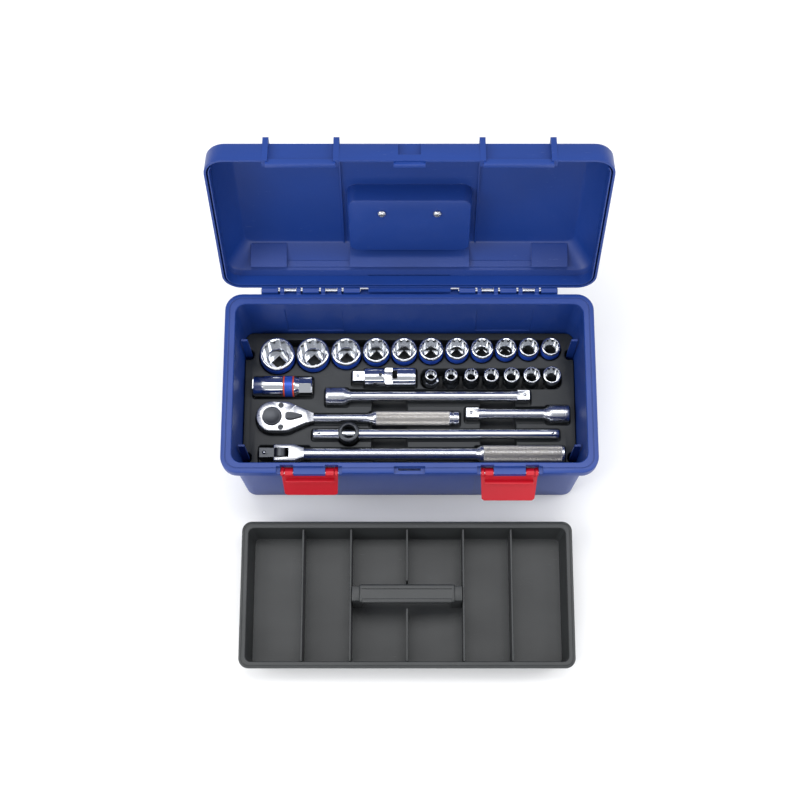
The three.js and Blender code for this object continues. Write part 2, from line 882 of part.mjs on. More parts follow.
function frontRowCentres() {
  const count = frontSizes.length;
  return frontSizes.map(
    (size, i) => ({ size, x: frontRowRight - (count - 1 - i) * frontRowPitch, y: frontRowY }),
  );
}

// Two hexagons a twelfth of a turn apart give the twelve points of a bi-hexagon opening.
function twelvePoint(size) {
  const points = [];
  for (let i = 0; i < 24; i += 1) {
    const radius = i % 2 ? size / 2 / Math.cos(Math.PI / 12) : size / 2 / Math.cos(Math.PI / 6);
    const angle = (i * Math.PI) / 12;
    points.push(new THREE.Vector2(radius * Math.cos(angle), radius * Math.sin(angle)));
  }
  return points;
}

function buildSocket({ size, x, y }, noseRadius, endRadius) {
  const height = socketHeight(size);
  const top = insertTop + socketStandUp;
  const base = top - height;
  const rings = [[0, endRadius], [height, endRadius]];
  if (noseRadius < endRadius) rings.splice(
    1, 1, [height / 2, endRadius], [height / 2 + 4, noseRadius], [height, noseRadius],
  );
  const shell = turned("z", rings, [x, y, base], noseRadius < endRadius ? 14 : 20);
  const starDepth = Math.min(height - driveHoleDepth - 4, size * 0.35 + 7);
  const star = loft(
    [
      { outline: twelvePoint(size + 0.2), z: height - starDepth },
      { outline: twelvePoint(size + 0.2), z: height + 1 },
    ],
    "z",
    [x, y, base],
  );
  const bore = rod("z", size * 0.385, driveHoleDepth - 1, height - starDepth + 1, [x, y, base], 10);
  const hole = square("z", driveSquareHole, -1, driveHoleDepth, [x, y, base], Math.PI / 4);
  return shell.subtract(star).subtract(bore).subtract(hole);
}

for (const place of rearRowCentres()) {
  const radius = rearDiameter(place.size) / 2;
  addPart(`socket_${place.size}mm`, buildSocket(place, radius, radius), chrome, 0.2, 1);
}
for (const place of frontRowCentres()) {
  const nose = rearDiameter(place.size) / 2;
  addPart(
    `socket_${place.size}mm`, buildSocket(place, nose, Math.max(driveEndRadius, nose)), chrome, 0.2, 1,
  );
}

// ---------------------------------------------------------------- spark plug socket, lying along X

function buildSparkSocket() {
  const at = [sparkX, sparkY, toolAxis];
  const bandEnd = sparkBody + sparkBand;
  const hexStart = sparkLength - sparkHexLength;
  const shell = turned(
    "x",
    [
      [0, sparkRadius],
      [sparkBody, sparkRadius],
      [sparkBody, sparkRadius - 1],
      [bandEnd, sparkRadius - 1],
      [bandEnd, sparkRadius - 0.3],
      [hexStart - 1, sparkHexFlats / 2],
      [hexStart + 1, sparkHexFlats / 2],
    ],
    at,
    24,
  );
  const hexRadius = sparkHexFlats / Math.sqrt(3);
  const hex = rod("x", hexRadius, hexStart, sparkLength, at, 6, Math.PI / 6);
  const opening = rod("x", sparkOpening / Math.sqrt(3), -1, hexStart - 6, at, 6);
  const drive = square("x", driveSquareHole, hexStart - 8, sparkLength + 1, at);
  return shell.add(hex).subtract(opening).subtract(drive);
}

addPart("spark_plug_socket", buildSparkSocket(), chrome, 0.2, 1);
const bandRing = turned(
  "x",
  [[touchGap, sparkRadius], [sparkBand - touchGap, sparkRadius]],
  [sparkX + sparkBody, sparkY, toolAxis],
  24,
);
const bandBore = rod(
  "x", sparkRadius - 1 + 0.3, -1, sparkBand + 1, [sparkX + sparkBody, sparkY, toolAxis], 24,
);
addPart("spark_plug_socket_band", bandRing.subtract(bandBore), 0x1b4fae, 0.5, 0);
const gripAt = [sparkX + rubberFrom, sparkY, toolAxis];
const rubberRing = rod("x", sparkOpening / 2 - 0.5, 0, rubberLength, gripAt, 16);
const rubber = rubberRing.subtract(rod("x", rubberBore, -1, rubberLength + 1, gripAt, 16));
addPart("spark_plug_rubber_grip", rubber, black, 0.9, 0);

// ---------------------------------------------------------------- universal joint, lying along X

function buildDriveYoke() {
  const at = [0, jointY, toolAxis];
  const forkEnd = uprightPinX + 5;
  const tang = square("x", driveSquare, jointX, jointX + jointSquareLength + 1, at);
  const round = turned(
    "x", [[jointX + jointSquareLength, jointRadius], [forkEnd, jointRadius]], at, 20,
  );
  const slotFrom = uprightPinX - crossHalf - forkGap;
  const slot = block(
    slotFrom, forkEnd + 1,
    jointY - jointRadius - 1, jointY + jointRadius + 1,
    toolAxis - crossHalf - forkGap, toolAxis + crossHalf + forkGap,
  );
  const bore = rod(
    "z",
    jointPinRadius + pinPlay,
    -jointRadius - 1,
    jointRadius + 1,
    [uprightPinX, jointY, toolAxis],
    12,
  );
  const ballHole = rod("z", 2.2, 3, 10, [jointX + ballFromEnd, jointY, toolAxis], 10);
  return tang.add(round).subtract(slot).subtract(bore).subtract(ballHole);
}

function buildCrossBlock() {
  let cross = block(
    uprightPinX - crossHalf, crossPinX + crossHalf,
    jointY - crossHalf, jointY + crossHalf,
    toolAxis - crossHalf, toolAxis + crossHalf,
  );
  cross = cross.subtract(
    rod("z", jointPinRadius + pinPlay, -9, 9, [uprightPinX, jointY, toolAxis], 12),
  );
  return cross.subtract(rod("y", jointPinRadius + pinPlay, -9, 9, [crossPinX, jointY, toolAxis], 12));
}

function buildSocketYoke() {
  const at = [0, jointY, toolAxis];
  const forkStart = crossPinX - 4.2;
  const barrel = turned("x", [[forkStart, jointSocketRadius], [jointEnd, jointSocketRadius]], at, 20);
  const slotEnd = crossPinX + crossHalf + 6;
  const slot = block(
    forkStart - 1, slotEnd,
    jointY - crossHalf - forkGap, jointY + crossHalf + forkGap,
    toolAxis - jointSocketRadius - 1, toolAxis + jointSocketRadius + 1,
  );
  const clearTop = block(
    forkStart - 1, crossPinX + 5,
    jointY - jointSocketRadius - 1, jointY + jointSocketRadius + 1,
    toolAxis + crossHalf + 0.5, toolAxis + jointSocketRadius + 1,
  );
  const clearLow = block(
    forkStart - 1, crossPinX + 5,
    jointY - jointSocketRadius - 1, jointY + jointSocketRadius + 1,
    toolAxis - jointSocketRadius - 1, toolAxis - crossHalf - 0.5,
  );
  const bore = rod("y", jointPinRadius + pinPlay, -13, 13, [crossPinX, jointY, toolAxis], 12);
  const drive = square("x", driveSquareHole, jointEnd - 17, jointEnd + 1, at);
  return barrel.subtract(slot).subtract(clearTop).subtract(clearLow).subtract(bore).subtract(drive);
}

addPart("universal_joint_drive_yoke", buildDriveYoke(), chrome, 0.2, 1);
addPart("universal_joint_cross_block", buildCrossBlock(), chrome, 0.25, 1);
addPart("universal_joint_socket_yoke", buildSocketYoke(), chrome, 0.2, 1);
addPart(
  "universal_joint_upright_pin",
  rod("z", jointPinRadius, -jointRadius + 0.5, jointRadius - 0.5, [uprightPinX, jointY, toolAxis], 12),
  darkSteel, 0.4, 1,
);
addPart(
  "universal_joint_cross_pin",
  rod(
    "y",
    jointPinRadius,
    -jointSocketRadius + 1,
    jointSocketRadius - 1,
    [crossPinX, jointY, toolAxis],
    12,
  ),
  darkSteel, 0.4, 1,
);

// ---------------------------------------------------------------- extension bars, lying along X

function buildExtension({ direction, x: socketEndX, length, y }) {
  const at = [socketEndX, y, toolAxis];
  const along = (s) => direction * s;
  const rings = [
    [0, driveEndRadius],
    [extensionCollar, driveEndRadius],
    [extensionNeck, extensionShaft],
    [length - 24, extensionShaft],
    [length - 23, extensionShaft + 0.5],
    [length - tangLength + 0.5, extensionShaft + 0.5],
    [length - tangLength + 1.5, extensionShaft],
  ];
  const shell = turned("x", rings.map(([s, r]) => [along(s), r]), at, 16);
  const tang = square("x", driveSquare, along(length - tangLength), along(length), at);
  const drive = square("x", driveSquareHole, along(-1), along(16), at);
  const seat = rod("z", ballRadius + pinPlay, driveSquare / 2 - ballSeatDepth, driveSquare / 2 + 2, [
    socketEndX + along(length - ballFromEnd), y, toolAxis,
  ], 10);
  return shell.add(tang).subtract(drive).subtract(seat);
}

function buildBall(x, y, surfaceZ) {
  const geometry = new THREE.SphereGeometry(ballRadius, 8, 5);
  geometry.translate(x, y, surfaceZ - ballRadius + ballProud);
  return solidOf(geometry);
}

for (const extension of [longExtension, shortExtension]) {
  const { name, direction, x, length, y } = extension;
  addPart(name, buildExtension(extension), chrome, 0.3, 1);
  const ballX = x + direction * (length - ballFromEnd);
  addPart(`${name}_ball`, buildBall(ballX, y, toolAxis + driveSquare / 2), chrome, 0.3, 1);
}

// ---------------------------------------------------------------- ratchet

function ratchetHeadOutline(grow) {
  const half = ratchetHeadRadius + grow;
  const side = [
    [ratchetHeadX + ratchetFlatReach, half],
    [ratchetHeadX + ratchetFlatReach + 5, half - 1.2],
    [ratchetHeadX + ratchetFlatReach + 8.5, half - 3],
    [ratchetThroatFrom, ratchetThroatHalf + grow],
    [ratchetNeckX, ratchetShaftRadius + grow],
  ];
  const points = [];
  for (let i = 0; i <= 12; i += 1) {
    const angle = Math.PI / 2 + (Math.PI * i) / 12;
    points.push(
      new THREE.Vector2(ratchetHeadX + half * Math.cos(angle), ratchetY + half * Math.sin(angle)),
    );
  }
  for (const [x, y] of side) points.push(new THREE.Vector2(x, ratchetY - y));
  for (const [x, y] of side.reverse()) points.push(new THREE.Vector2(x, ratchetY + y));
  return points;
}

function buildRatchetBody() {
  const outline = ratchetHeadOutline(0);
  const head = loft([{ outline, z: ratchetBottom }, { outline, z: ratchetTop }]);
  const shaft = turned(
    "x",
    [
      [ratchetShaftX, ratchetShaftRadius],
      [ratchetGripFrom - 6, ratchetShaftRadius],
      [ratchetGripFrom, ratchetGripRadius],
      [ratchetGripTo, ratchetGripRadius],
      [ratchetGripTo + 1, ratchetGripRadius - 0.8],
      [ratchetEnd - 1.5, ratchetGripRadius + 0.2],
      [ratchetEnd, ratchetGripRadius - 1.5],
    ],
    [0, ratchetY, toolAxis],
    20,
  );
  const throat = block(
    ratchetThroatFrom, ratchetThroatFrom + 15,
    ratchetY - 12, ratchetY + 12,
    toolAxis + 6, ratchetTop + 1,
  );
  const headAt = [ratchetHeadX, ratchetY, 0];
  let body = head.subtract(throat).add(shaft);
  body = body.subtract(rod("z", gearCavity, ratchetBottom - 1, toolAxis + 5, headAt, 24));
  body = body.subtract(rod("z", hubRadius + pinPlay, ratchetBottom, ratchetTop + 1, headAt, 24));
  body = body.subtract(
    rod("z", gearCavity + 3, ratchetBottom - 1, ratchetBottom + coverThick + 0.4, headAt, 24),
  );
  body = body.subtract(
    block(
      ratchetHeadX + 8, leverX + 6, ratchetY - 6.5, ratchetY + 6.5, ratchetBottom + 3, toolAxis + 5,
    ),
  );
  body = body.subtract(
    rod("z", leverStem + pinPlay, toolAxis, ratchetTop + 1, [leverX, ratchetY, 0], 12),
  );
  for (const [, offset] of ratchetScrews) {
    body = body.subtract(
      rod(
        "z",
        ratchetScrewRadius + pinPlay,
        ratchetTop - 2.2,
        ratchetTop + 1,
        [ratchetScrewX, ratchetY + offset, 0],
        12,
      ),
    );
  }
  return body;
}

function buildRatchetGear() {
  const teeth = [];
  for (let i = 0; i < gearTeeth * 2; i += 1) {
    const radius = i % 2 ? gearRadius - gearToothDepth : gearRadius;
    const angle = (i * Math.PI) / gearTeeth;
    teeth.push(new THREE.Vector2(radius * Math.cos(angle), radius * Math.sin(angle)));
  }
  const at = [ratchetHeadX, ratchetY, 0];
  const gear = loft(
    [{ outline: teeth, z: ratchetBottom + coverThick + 1 }, { outline: teeth, z: toolAxis + 4.4 }],
    "z",
    at,
  );
  const hub = rod("z", hubRadius, ratchetBottom - 0.5, ratchetTop + 0.4, at, 24);
  const drive = square("z", driveSquare, ratchetBottom - driveTangReach, ratchetBottom, at);
  return gear.add(hub).add(drive);
}

function buildRatchetCover() {
  const at = [ratchetHeadX, ratchetY, 0];
  const disc = rod("z", gearCavity + 2.6, ratchetBottom, ratchetBottom + coverThick, at, 24);
  return disc.subtract(
    rod("z", hubRadius + pinPlay, ratchetBottom - 1, ratchetBottom + coverThick + 1, at, 24),
  );
}

function buildRatchetLever() {
  const at = [leverX, ratchetY, 0];
  const thumb = [
    new THREE.Vector2(-4, -4),
    new THREE.Vector2(2, -5),
    new THREE.Vector2(leverReach, -1.6),
    new THREE.Vector2(leverReach, 1.6),
    new THREE.Vector2(2, 5),
    new THREE.Vector2(-4, 4),
  ];
  const pad = loft(
    [{ outline: thumb, z: ratchetTop + 0.4 }, { outline: thumb, z: ratchetTop + 3 }], "z", at,
  );
  return pad.add(rod("z", leverStem, toolAxis + 5.6, ratchetTop + 1, at, 12));
}

addPart("ratchet_body", buildRatchetBody(), chrome, 0.3, 1);
addPart("ratchet_drive_gear", buildRatchetGear(), darkSteel, 0.4, 1);
addPart("ratchet_cover_plate", buildRatchetCover(), darkSteel, 0.4, 1);
addPart("ratchet_lever", buildRatchetLever(), darkSteel, 0.5, 1);
const pawlAt = toolAxis - 5.6;
const pawl = block(
  ratchetHeadX + gearRadius + 1, leverX + 3, ratchetY - 4, ratchetY + 4, pawlAt, toolAxis + 4.4,
);
addPart("ratchet_pawl", pawl, darkSteel, 0.4, 1);
for (const [name, offset] of ratchetScrews) {
  const at = [ratchetScrewX, ratchetY + offset, 0];
  const head = rod("z", ratchetScrewRadius, ratchetTop - 1.8, ratchetTop + 0.3, at, 12);
  const slot = block(
    ratchetScrewX - 4, ratchetScrewX + 4,
    ratchetY + offset - 0.5, ratchetY + offset + 0.5,
    ratchetTop - 0.6, ratchetTop + 1,
  );
  addPart(`ratchet_screw_${name}`, head.subtract(slot), darkSteel, 0.4, 1);
}

// ---------------------------------------------------------------- sliding T-bar, lying along X

function buildSlidingHead() {
  const at = [slideHeadX, barY, 0];
  const body = rod("z", slideHeadRadius, toolAxis - slideHeadHalf, slideHeadTop, at, 24);
  const drive = square(
    "z", driveSquare, toolAxis - slideHeadHalf - driveTangReach, toolAxis - slideHeadHalf + 1, at,
  );
  const mouth = rod("z", slideHeadBore, toolAxis - 7.5, slideHeadTop + 1, at, 20);
  const barWay = rod("x", barRadius + pinPlay + 0.1, -30, 30, [slideHeadX, barY, toolAxis], 16);
  return body.add(drive).subtract(mouth).subtract(barWay);
}

function buildSlidingBar() {
  const rings = [
    [0, barRadius - 1],
    [1.2, barRadius],
    [barLength - 1.2, barRadius],
    [barLength, barRadius - 1],
  ];
  let bar = turned("x", rings, [barFrom, barY, toolAxis], 16);
  for (const x of [barFrom + barBallInset, barFrom + barLength - barBallInset]) {
    bar = bar.subtract(
      rod("z", ballRadius + pinPlay, barRadius - ballSeatDepth, barRadius + 2, [x, barY, toolAxis], 10),
    );
  }
  return bar;
}

addPart("sliding_t_bar", buildSlidingBar(), chrome, 0.15, 1);
addPart("sliding_t_head", buildSlidingHead(), darkSteel, 0.5, 1);
addPart(
  "sliding_t_bar_ball_left",
  buildBall(barFrom + barBallInset, barY, toolAxis + barRadius),
  chrome,
  0.3,
  1,
);
addPart(
  "sliding_t_bar_ball_right",
  buildBall(barFrom + barLength - barBallInset, barY, toolAxis + barRadius),
  chrome,
  0.3,
  1,
);

// ---------------------------------------------------------------- flex handle, lying along X

function buildFlexHandle() {
  const at = [0, flexY, toolAxis];
  const shell = turned(
    "x",
    [
      [flexForkRoot + 10, flexShaftRadius],
      [flexGripFrom - 8, flexShaftRadius],
      [flexGripFrom, flexGripRadius],
      [flexEnd - 1, flexGripRadius],
      [flexEnd, flexGripRadius - 1],
    ],
    at,
    20,
  );
  const gapHalf = flexHeadHalf + forkGap;
  const mouth = block(
    flexForkEnd - 1, flexForkRoot, flexY - gapHalf, flexY + gapHalf, toolAxis - 15, toolAxis + 15,
  );
  const forkEdge = [
    [flexForkEnd, flexForkRadius],
    [flexForkRoot + 6, flexForkRadius],
    [flexForkRoot + 13, flexShaftRadius],
    [flexForkRoot + 18, flexShaftRadius - 1.5],
  ];
  const fork = [];
  for (const [x, y] of forkEdge) fork.push(new THREE.Vector2(x, flexY - y));
  for (const [x, y] of forkEdge.reverse()) fork.push(new THREE.Vector2(x, flexY + y));
  const forged = loft([
    { outline: fork, z: toolAxis - flexForkFlat },
    { outline: fork, z: toolAxis + flexForkFlat },
  ]);
  const bore = rod("y", flexPinRadius + pinPlay, -12, 12, [flexPinX, flexY, toolAxis], 12);
  return shell.add(forged).subtract(mouth).subtract(bore);
}

function buildFlexHead() {
  const at = [0, flexY, toolAxis];
  const waistHalf = driveSquare / 2 - 0.05;
  const barrel = rod(
    "y", flexBarrelRadius, -flexHeadHalf, flexHeadHalf, [flexPinX, flexY, toolAxis], 20,
  );
  const tang = square("x", driveSquare, flexFrom, flexPinX, at).intersect(
    block(flexFrom - 1, flexPinX + 1, flexY - 10, flexY + 10, toolAxis - 10, toolAxis + 10),
  );
  const waist = block(
    flexPinX - flexNeckReach - 0.5, flexPinX,
    flexY - flexHeadHalf, flexY + flexHeadHalf,
    toolAxis - waistHalf, toolAxis + waistHalf,
  );
  const widePart = block(
    flexPinX - flexNeckReach,
    flexPinX + 10,
    flexY - 20,
    flexY - flexHeadHalf,
    toolAxis - 15,
    toolAxis + 15,
  );
  const wideOther = block(
    flexPinX - flexNeckReach,
    flexPinX + 10,
    flexY + flexHeadHalf,
    flexY + 20,
    toolAxis - 15,
    toolAxis + 15,
  );
  const bore = rod("y", flexPinRadius + pinPlay, -12, 12, [flexPinX, flexY, toolAxis], 12);
  const seat = rod(
    "z",
    ballRadius + pinPlay,
    driveSquare / 2 - ballSeatDepth,
    driveSquare / 2 + 2,
    [flexFrom + ballFromEnd, flexY, toolAxis],
    10,
  );
  return tang.subtract(widePart).subtract(wideOther).add(waist).add(barrel).subtract(bore).subtract(seat);
}

addPart("flex_handle", buildFlexHandle(), chrome, 0.35, 1);
addPart("flex_head", buildFlexHead(), darkSteel, 0.5, 1);
addPart(
  "flex_head_ball",
  buildBall(flexFrom + ballFromEnd, flexY, toolAxis + driveSquare / 2),
  chrome,
  0.3,
  1,
);
addPart(
  "flex_head_pin",
  rod("y", flexPinRadius, -9.5, 9.5, [flexPinX, flexY, toolAxis], 12),
  darkSteel,
  0.4,
  1,
);

// ---------------------------------------------------------------- insert

function pockets() {
  const lid = insertTop + 1;
  const box = (x0, x1, y0, y1, floor) => block(x0, x1, y0, y1, floor, lid);
  const well = (x, y, radius, floor) => rod("z", radius, floor, lid, [x, y, 0], 16);
  const trough = (from, to, y, radius) => {
    return box(
      from - pocketPlay,
      to + pocketPlay,
      y - radius - pocketPlay,
      y + radius + pocketPlay,
      toolAxis - radius - 0.5,
    );
  };
  const all = [];
  const rear = rearRowCentres();
  for (const { size, x, y } of rear) all.push(well(x, y, rearDiameter(size) / 2 + pocketPlay, seatFloor(size)));
  const last = rear[rear.length - 1];
  all.push(box(rear[0].x, last.x, last.y - 6, rearRowBack + pocketPlay, rearTroughFloor));
  const front = frontRowCentres();
  const half = driveEndRadius + pocketPlay;
  all.push(
    box(
      front[0].x - half,
      front[front.length - 1].x + half,
      frontRowY - half - 1,
      frontRowY + half,
      seatFloor(10),
    ),
  );
  all.push(trough(sparkX, sparkX + sparkLength, sparkY, sparkRadius));
  all.push(trough(jointX, jointX + jointSquareLength, jointY, 9));
  all.push(trough(jointX + jointSquareLength, jointEnd, jointY, jointSocketRadius));
  all.push(trough(longExtension.x, longExtension.x + 27, longExtension.y, driveEndRadius));
  all.push(trough(longExtension.x, longExtension.x + longExtension.length, longExtension.y, 9));
  all.push(trough(shortExtension.x - 27, shortExtension.x, shortExtension.y, driveEndRadius));
  all.push(trough(shortExtension.x - shortExtension.length, shortExtension.x, shortExtension.y, 9));
  const headOutline = ratchetHeadOutline(pocketPlay);
  all.push(loft([{ outline: headOutline, z: ratchetBottom - 0.6 }, { outline: headOutline, z: lid }]));
  all.push(well(ratchetHeadX, ratchetY, driveWellRadius, ratchetBottom - driveTangReach - 1));
  all.push(trough(ratchetNeckX - 2, ratchetGripFrom, ratchetY, ratchetShaftRadius + 1));
  all.push(trough(ratchetGripFrom - 6, ratchetEnd, ratchetY, ratchetGripRadius + 0.2));
  all.push(trough(barFrom, barFrom + barLength, barY, barRadius));
  all.push(well(slideHeadX, barY, slideHeadRadius + pocketPlay, toolAxis - slideHeadHalf - 0.6));
  all.push(well(slideHeadX, barY, driveWellRadius, toolAxis - slideHeadHalf - driveTangReach - 1));
  all.push(trough(flexFrom, flexForkRoot + 24, flexY, flexForkRadius));
  all.push(trough(flexForkRoot, flexEnd, flexY, flexShaftRadius + 0.5));
  all.push(trough(flexGripFrom - 8, flexEnd, flexY, flexGripRadius));
  for (const x of channelCentres) {
    all.push(
      box(
        x - channelWidth / 2,
        x + channelWidth / 2,
        flexY - 10,
        longExtension.y + 7,
        insertTop - channelDepth,
      ),
    );
  }
  return joined(all);
}

// The material under and around the pockets: one step for each row and one deck under the long tools.
function pocketDecks() {
  const deck = (x0, x1, y0, y1, floor) => block(
    x0, x1, y0, y1, floor - insertSkin, insertTop - insertSkin / 2,
  );
  const edge = wallHalfWidth;
  const biggest = rearSizes[0];
  const shelf = frontRowY + driveEndRadius + 2 * pocketPlay;
  const all = [
    deck(
      -edge,
      edge,
      rearRowBack - rearDiameter(biggest) - 2 * pocketPlay,
      wallHalfDepth,
      seatFloor(biggest),
    ),
  ];
  all.push(
    deck(frontRowCentres()[0].x - driveEndRadius - 3, edge, longExtension.y, shelf, seatFloor(10)),
  );
  all.push(deck(-edge, edge, longExtension.y + 8, shelf, toolAxis - sparkRadius - 0.5));
  all.push(
    deck(-edge, edge, -wallHalfDepth, longExtension.y + driveEndRadius + 3, insertTop - channelDepth),
  );
  const driveWells = [
    [ratchetHeadX, ratchetY, ratchetBottom - driveTangReach - 1],
    [slideHeadX, barY, toolAxis - slideHeadHalf - driveTangReach - 1],
  ];
  for (const [x, y, floor] of driveWells) {
    all.push(
      rod("z", driveWellRadius + insertSkin, floor - insertSkin, insertTop - insertSkin, [x, y, 0], 12),
    );
  }
  return joined(all);
}

function buildInsert() {
  const bottom = caseFloor + touchGap;
  const outer = insideLoft(bottom, insertTop, insertGap, 9);
  const hollow = insideLoft(bottom - 1, insertTop - insertSkin, insertGap + insertSkin, 7);
  const [insideWidth] = insideAt(insertTop);
  const notches = (grow, top) => {
    const all = [];
    for (const sideX of [-1, 1]) {
      for (const sideY of [-1, 1]) {
        const y = (sideY * ribSpacing) / 2;
        const half = ribNotchWidth / 2 + grow;
        const inner = sideX * (insideWidth / 2 - ribReach - ribNotchGap - grow);
        all.push(block(inner, sideX * (wallHalfWidth + 5), y - half, y + half, -1, top));
      }
    }
    return joined(all);
  };
  let insert = outer.subtract(hollow);
  insert = insert.add(pocketDecks().intersect(outer));
  insert = insert.add(notches(insertSkin, insertTop).intersect(outer));
  return insert.subtract(pockets()).subtract(notches(0, insertTop + 1));
}

addPart("tool_insert", buildInsert(), black, 0.6, 0);

// ---------------------------------------------------------------- lift-out tray

function trayOutline(width, depth, corner) {
  return roundedRect(width, depth, corner, trayCentreX, trayCentreY);
}

function buildTray() {
  const floorWidth = trayWidth - 2 * (trayRim + trayTaper - traySkin);
  const floorDepth = trayDepth - 2 * (trayRim + trayTaper - traySkin);
  const topWidth = trayWidth - 2 * (trayRim - traySkin);
  const topDepth = trayDepth - 2 * (trayRim - traySkin);
  const tub = loft([
    { outline: trayOutline(floorWidth, floorDepth, 8), z: 0 },
    { outline: trayOutline(topWidth, topDepth, 9), z: trayHeight },
  ]);
  const rimOutline = trayOutline(trayWidth, trayDepth, 12);
  const rim = loft(
    [{ outline: rimOutline, z: trayHeight - trayLip }, { outline: rimOutline, z: trayHeight }],
  );
  const cavity = loft([
    { outline: trayOutline(floorWidth - 2 * traySkin, floorDepth - 2 * traySkin, 6), z: traySkin },
    { outline: trayOutline(topWidth - 2 * traySkin, topDepth - 2 * traySkin, 7), z: trayHeight + 0.01 },
  ]);
  let tray = tub.add(rim).subtract(cavity);
  const dividerTop = trayHeight - dividerDrop;
  const half = trayDepth / 2 - trayRim - 1;
  for (const offset of [-dividerOuter, -dividerInner, dividerInner, dividerOuter]) {
    const x = trayCentreX + offset;
    tray = tray.add(
      block(
        x - dividerThick / 2,
        x + dividerThick / 2,
        trayCentreY - half,
        trayCentreY + half,
        traySkin - 1,
        dividerTop,
      ),
    );
  }
  for (const side of [-1, 1]) {
    const near = trayCentreY + side * (trayGripDepth / 2 + 6);
    const far = trayCentreY + side * half;
    tray = tray.add(
      block(
        trayCentreX - dividerThick / 2, trayCentreX + dividerThick / 2,
        Math.min(near, far), Math.max(near, far),
        traySkin - 1, dividerTop,
      ),
    );
  }
  return tray.intersect(block(-caseWidth, caseWidth, -caseDepth * 2, 0, 0, trayHeight));
}

function buildTrayHandle() {
  const x = trayCentreX;
  const outline = roundedRect(
    trayGripDepth, trayGripThick, 3, trayCentreY, trayGripTop - trayGripThick / 2, 2,
  );
  const half = trayGripLength / 2;
  const gripBar = loft([{ outline, z: x - half }, { outline, z: x + half }], "x");
  const posts = [-1, 1].map((side) => {
    const outer = x + side * (dividerInner - dividerThick / 2 - touchGap);
    const inner = x + side * (half - 4);
    const y0 = trayCentreY - trayGripDepth / 2;
    return block(
      inner, outer,
      y0 + trayPostInset, y0 + trayGripDepth - trayPostInset,
      traySkin + touchGap, trayGripTop - trayPostInset,
    );
  });
  return joined([gripBar, ...posts]);
}

addPart("lift_out_tray", buildTray(), grey, 0.55, 0);
addPart("lift_out_tray_handle", buildTrayHandle(), grey, 0.5, 0);

export default object;
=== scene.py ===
import json
import math

import bmesh
import bpy
from mathutils import Matrix, Vector


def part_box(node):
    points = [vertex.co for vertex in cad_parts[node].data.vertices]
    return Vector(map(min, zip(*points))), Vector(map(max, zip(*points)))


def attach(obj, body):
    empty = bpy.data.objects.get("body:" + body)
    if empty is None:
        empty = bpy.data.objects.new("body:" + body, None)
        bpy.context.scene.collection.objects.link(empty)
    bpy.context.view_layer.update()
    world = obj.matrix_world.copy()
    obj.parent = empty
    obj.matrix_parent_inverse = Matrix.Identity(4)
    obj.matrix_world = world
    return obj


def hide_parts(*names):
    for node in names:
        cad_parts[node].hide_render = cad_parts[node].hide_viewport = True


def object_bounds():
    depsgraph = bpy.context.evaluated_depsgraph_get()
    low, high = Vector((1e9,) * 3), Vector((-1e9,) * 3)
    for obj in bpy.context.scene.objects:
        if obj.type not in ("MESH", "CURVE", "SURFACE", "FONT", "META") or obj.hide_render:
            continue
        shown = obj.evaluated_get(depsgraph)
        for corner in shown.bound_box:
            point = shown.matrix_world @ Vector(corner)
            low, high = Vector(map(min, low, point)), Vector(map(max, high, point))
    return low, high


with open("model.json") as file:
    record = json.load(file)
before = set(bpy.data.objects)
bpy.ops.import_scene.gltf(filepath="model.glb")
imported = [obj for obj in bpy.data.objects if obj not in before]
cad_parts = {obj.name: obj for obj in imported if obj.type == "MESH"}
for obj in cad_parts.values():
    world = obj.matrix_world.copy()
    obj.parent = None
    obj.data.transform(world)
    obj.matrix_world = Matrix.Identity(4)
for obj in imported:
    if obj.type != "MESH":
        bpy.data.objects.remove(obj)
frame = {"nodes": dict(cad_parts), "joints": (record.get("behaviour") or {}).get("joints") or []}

cad_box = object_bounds()
scene = bpy.context.scene
scene.view_settings.view_transform = "Standard"

# ---------------------------------------------------------------- camera
# A long lens high above the front edge of the tray, tipped towards the open box.

camera_tip = math.radians(15.3)
camera_data = bpy.data.cameras.new("camera")
camera_data.sensor_width = 36
camera_data.lens = 67.4
camera_data.shift_x = -0.0119
camera_data.shift_y = 0.122
camera_data.clip_end = 20
camera = bpy.data.objects.new("camera", camera_data)
camera.location = (0, -0.5937, 1.8063)
camera.rotation_euler = (camera_tip, 0, 0)
scene.collection.objects.link(camera)
scene.camera = camera

# ---------------------------------------------------------------- floor and lights
# A white paper sweep under large soft boxes, as small products are lit.


def soft_box(name, place, aim, size, power, tint=(1, 1, 1)):
    light = bpy.data.lights.new(name, "AREA")
    light.shape = "RECTANGLE"
    light.size, light.size_y = size
    light.energy = power
    light.color = tint
    lamp = bpy.data.objects.new(name, light)
    lamp.location = place
    lamp.rotation_euler = (Vector(aim) - Vector(place)).to_track_quat("-Z", "Y").to_euler()
    scene.collection.objects.link(lamp)


soft_box("softbox_left", (-1.5, -0.5, 1.7), (0, 0, 0.1), (1.3, 1.3), 26)
soft_box("softbox_right", (1.6, 0.1, 1.5), (0, 0, 0.1), (0.9, 1.5), 15)
soft_box("softbox_front", (0.1, -2.1, 1.2), (0, -0.1, 0.1), (2.0, 0.7), 17)
soft_box("softbox_top", (0.0, 0.45, 2.4), (0, 0.1, 0.1), (1.8, 1.0), 24)

sky = bpy.data.worlds.new("studio")
sky.use_nodes = True
sky.node_tree.nodes["Background"].inputs["Color"].default_value = (0.86, 0.88, 0.92, 1)
sky.node_tree.nodes["Background"].inputs["Strength"].default_value = 0.62
scene.world = sky

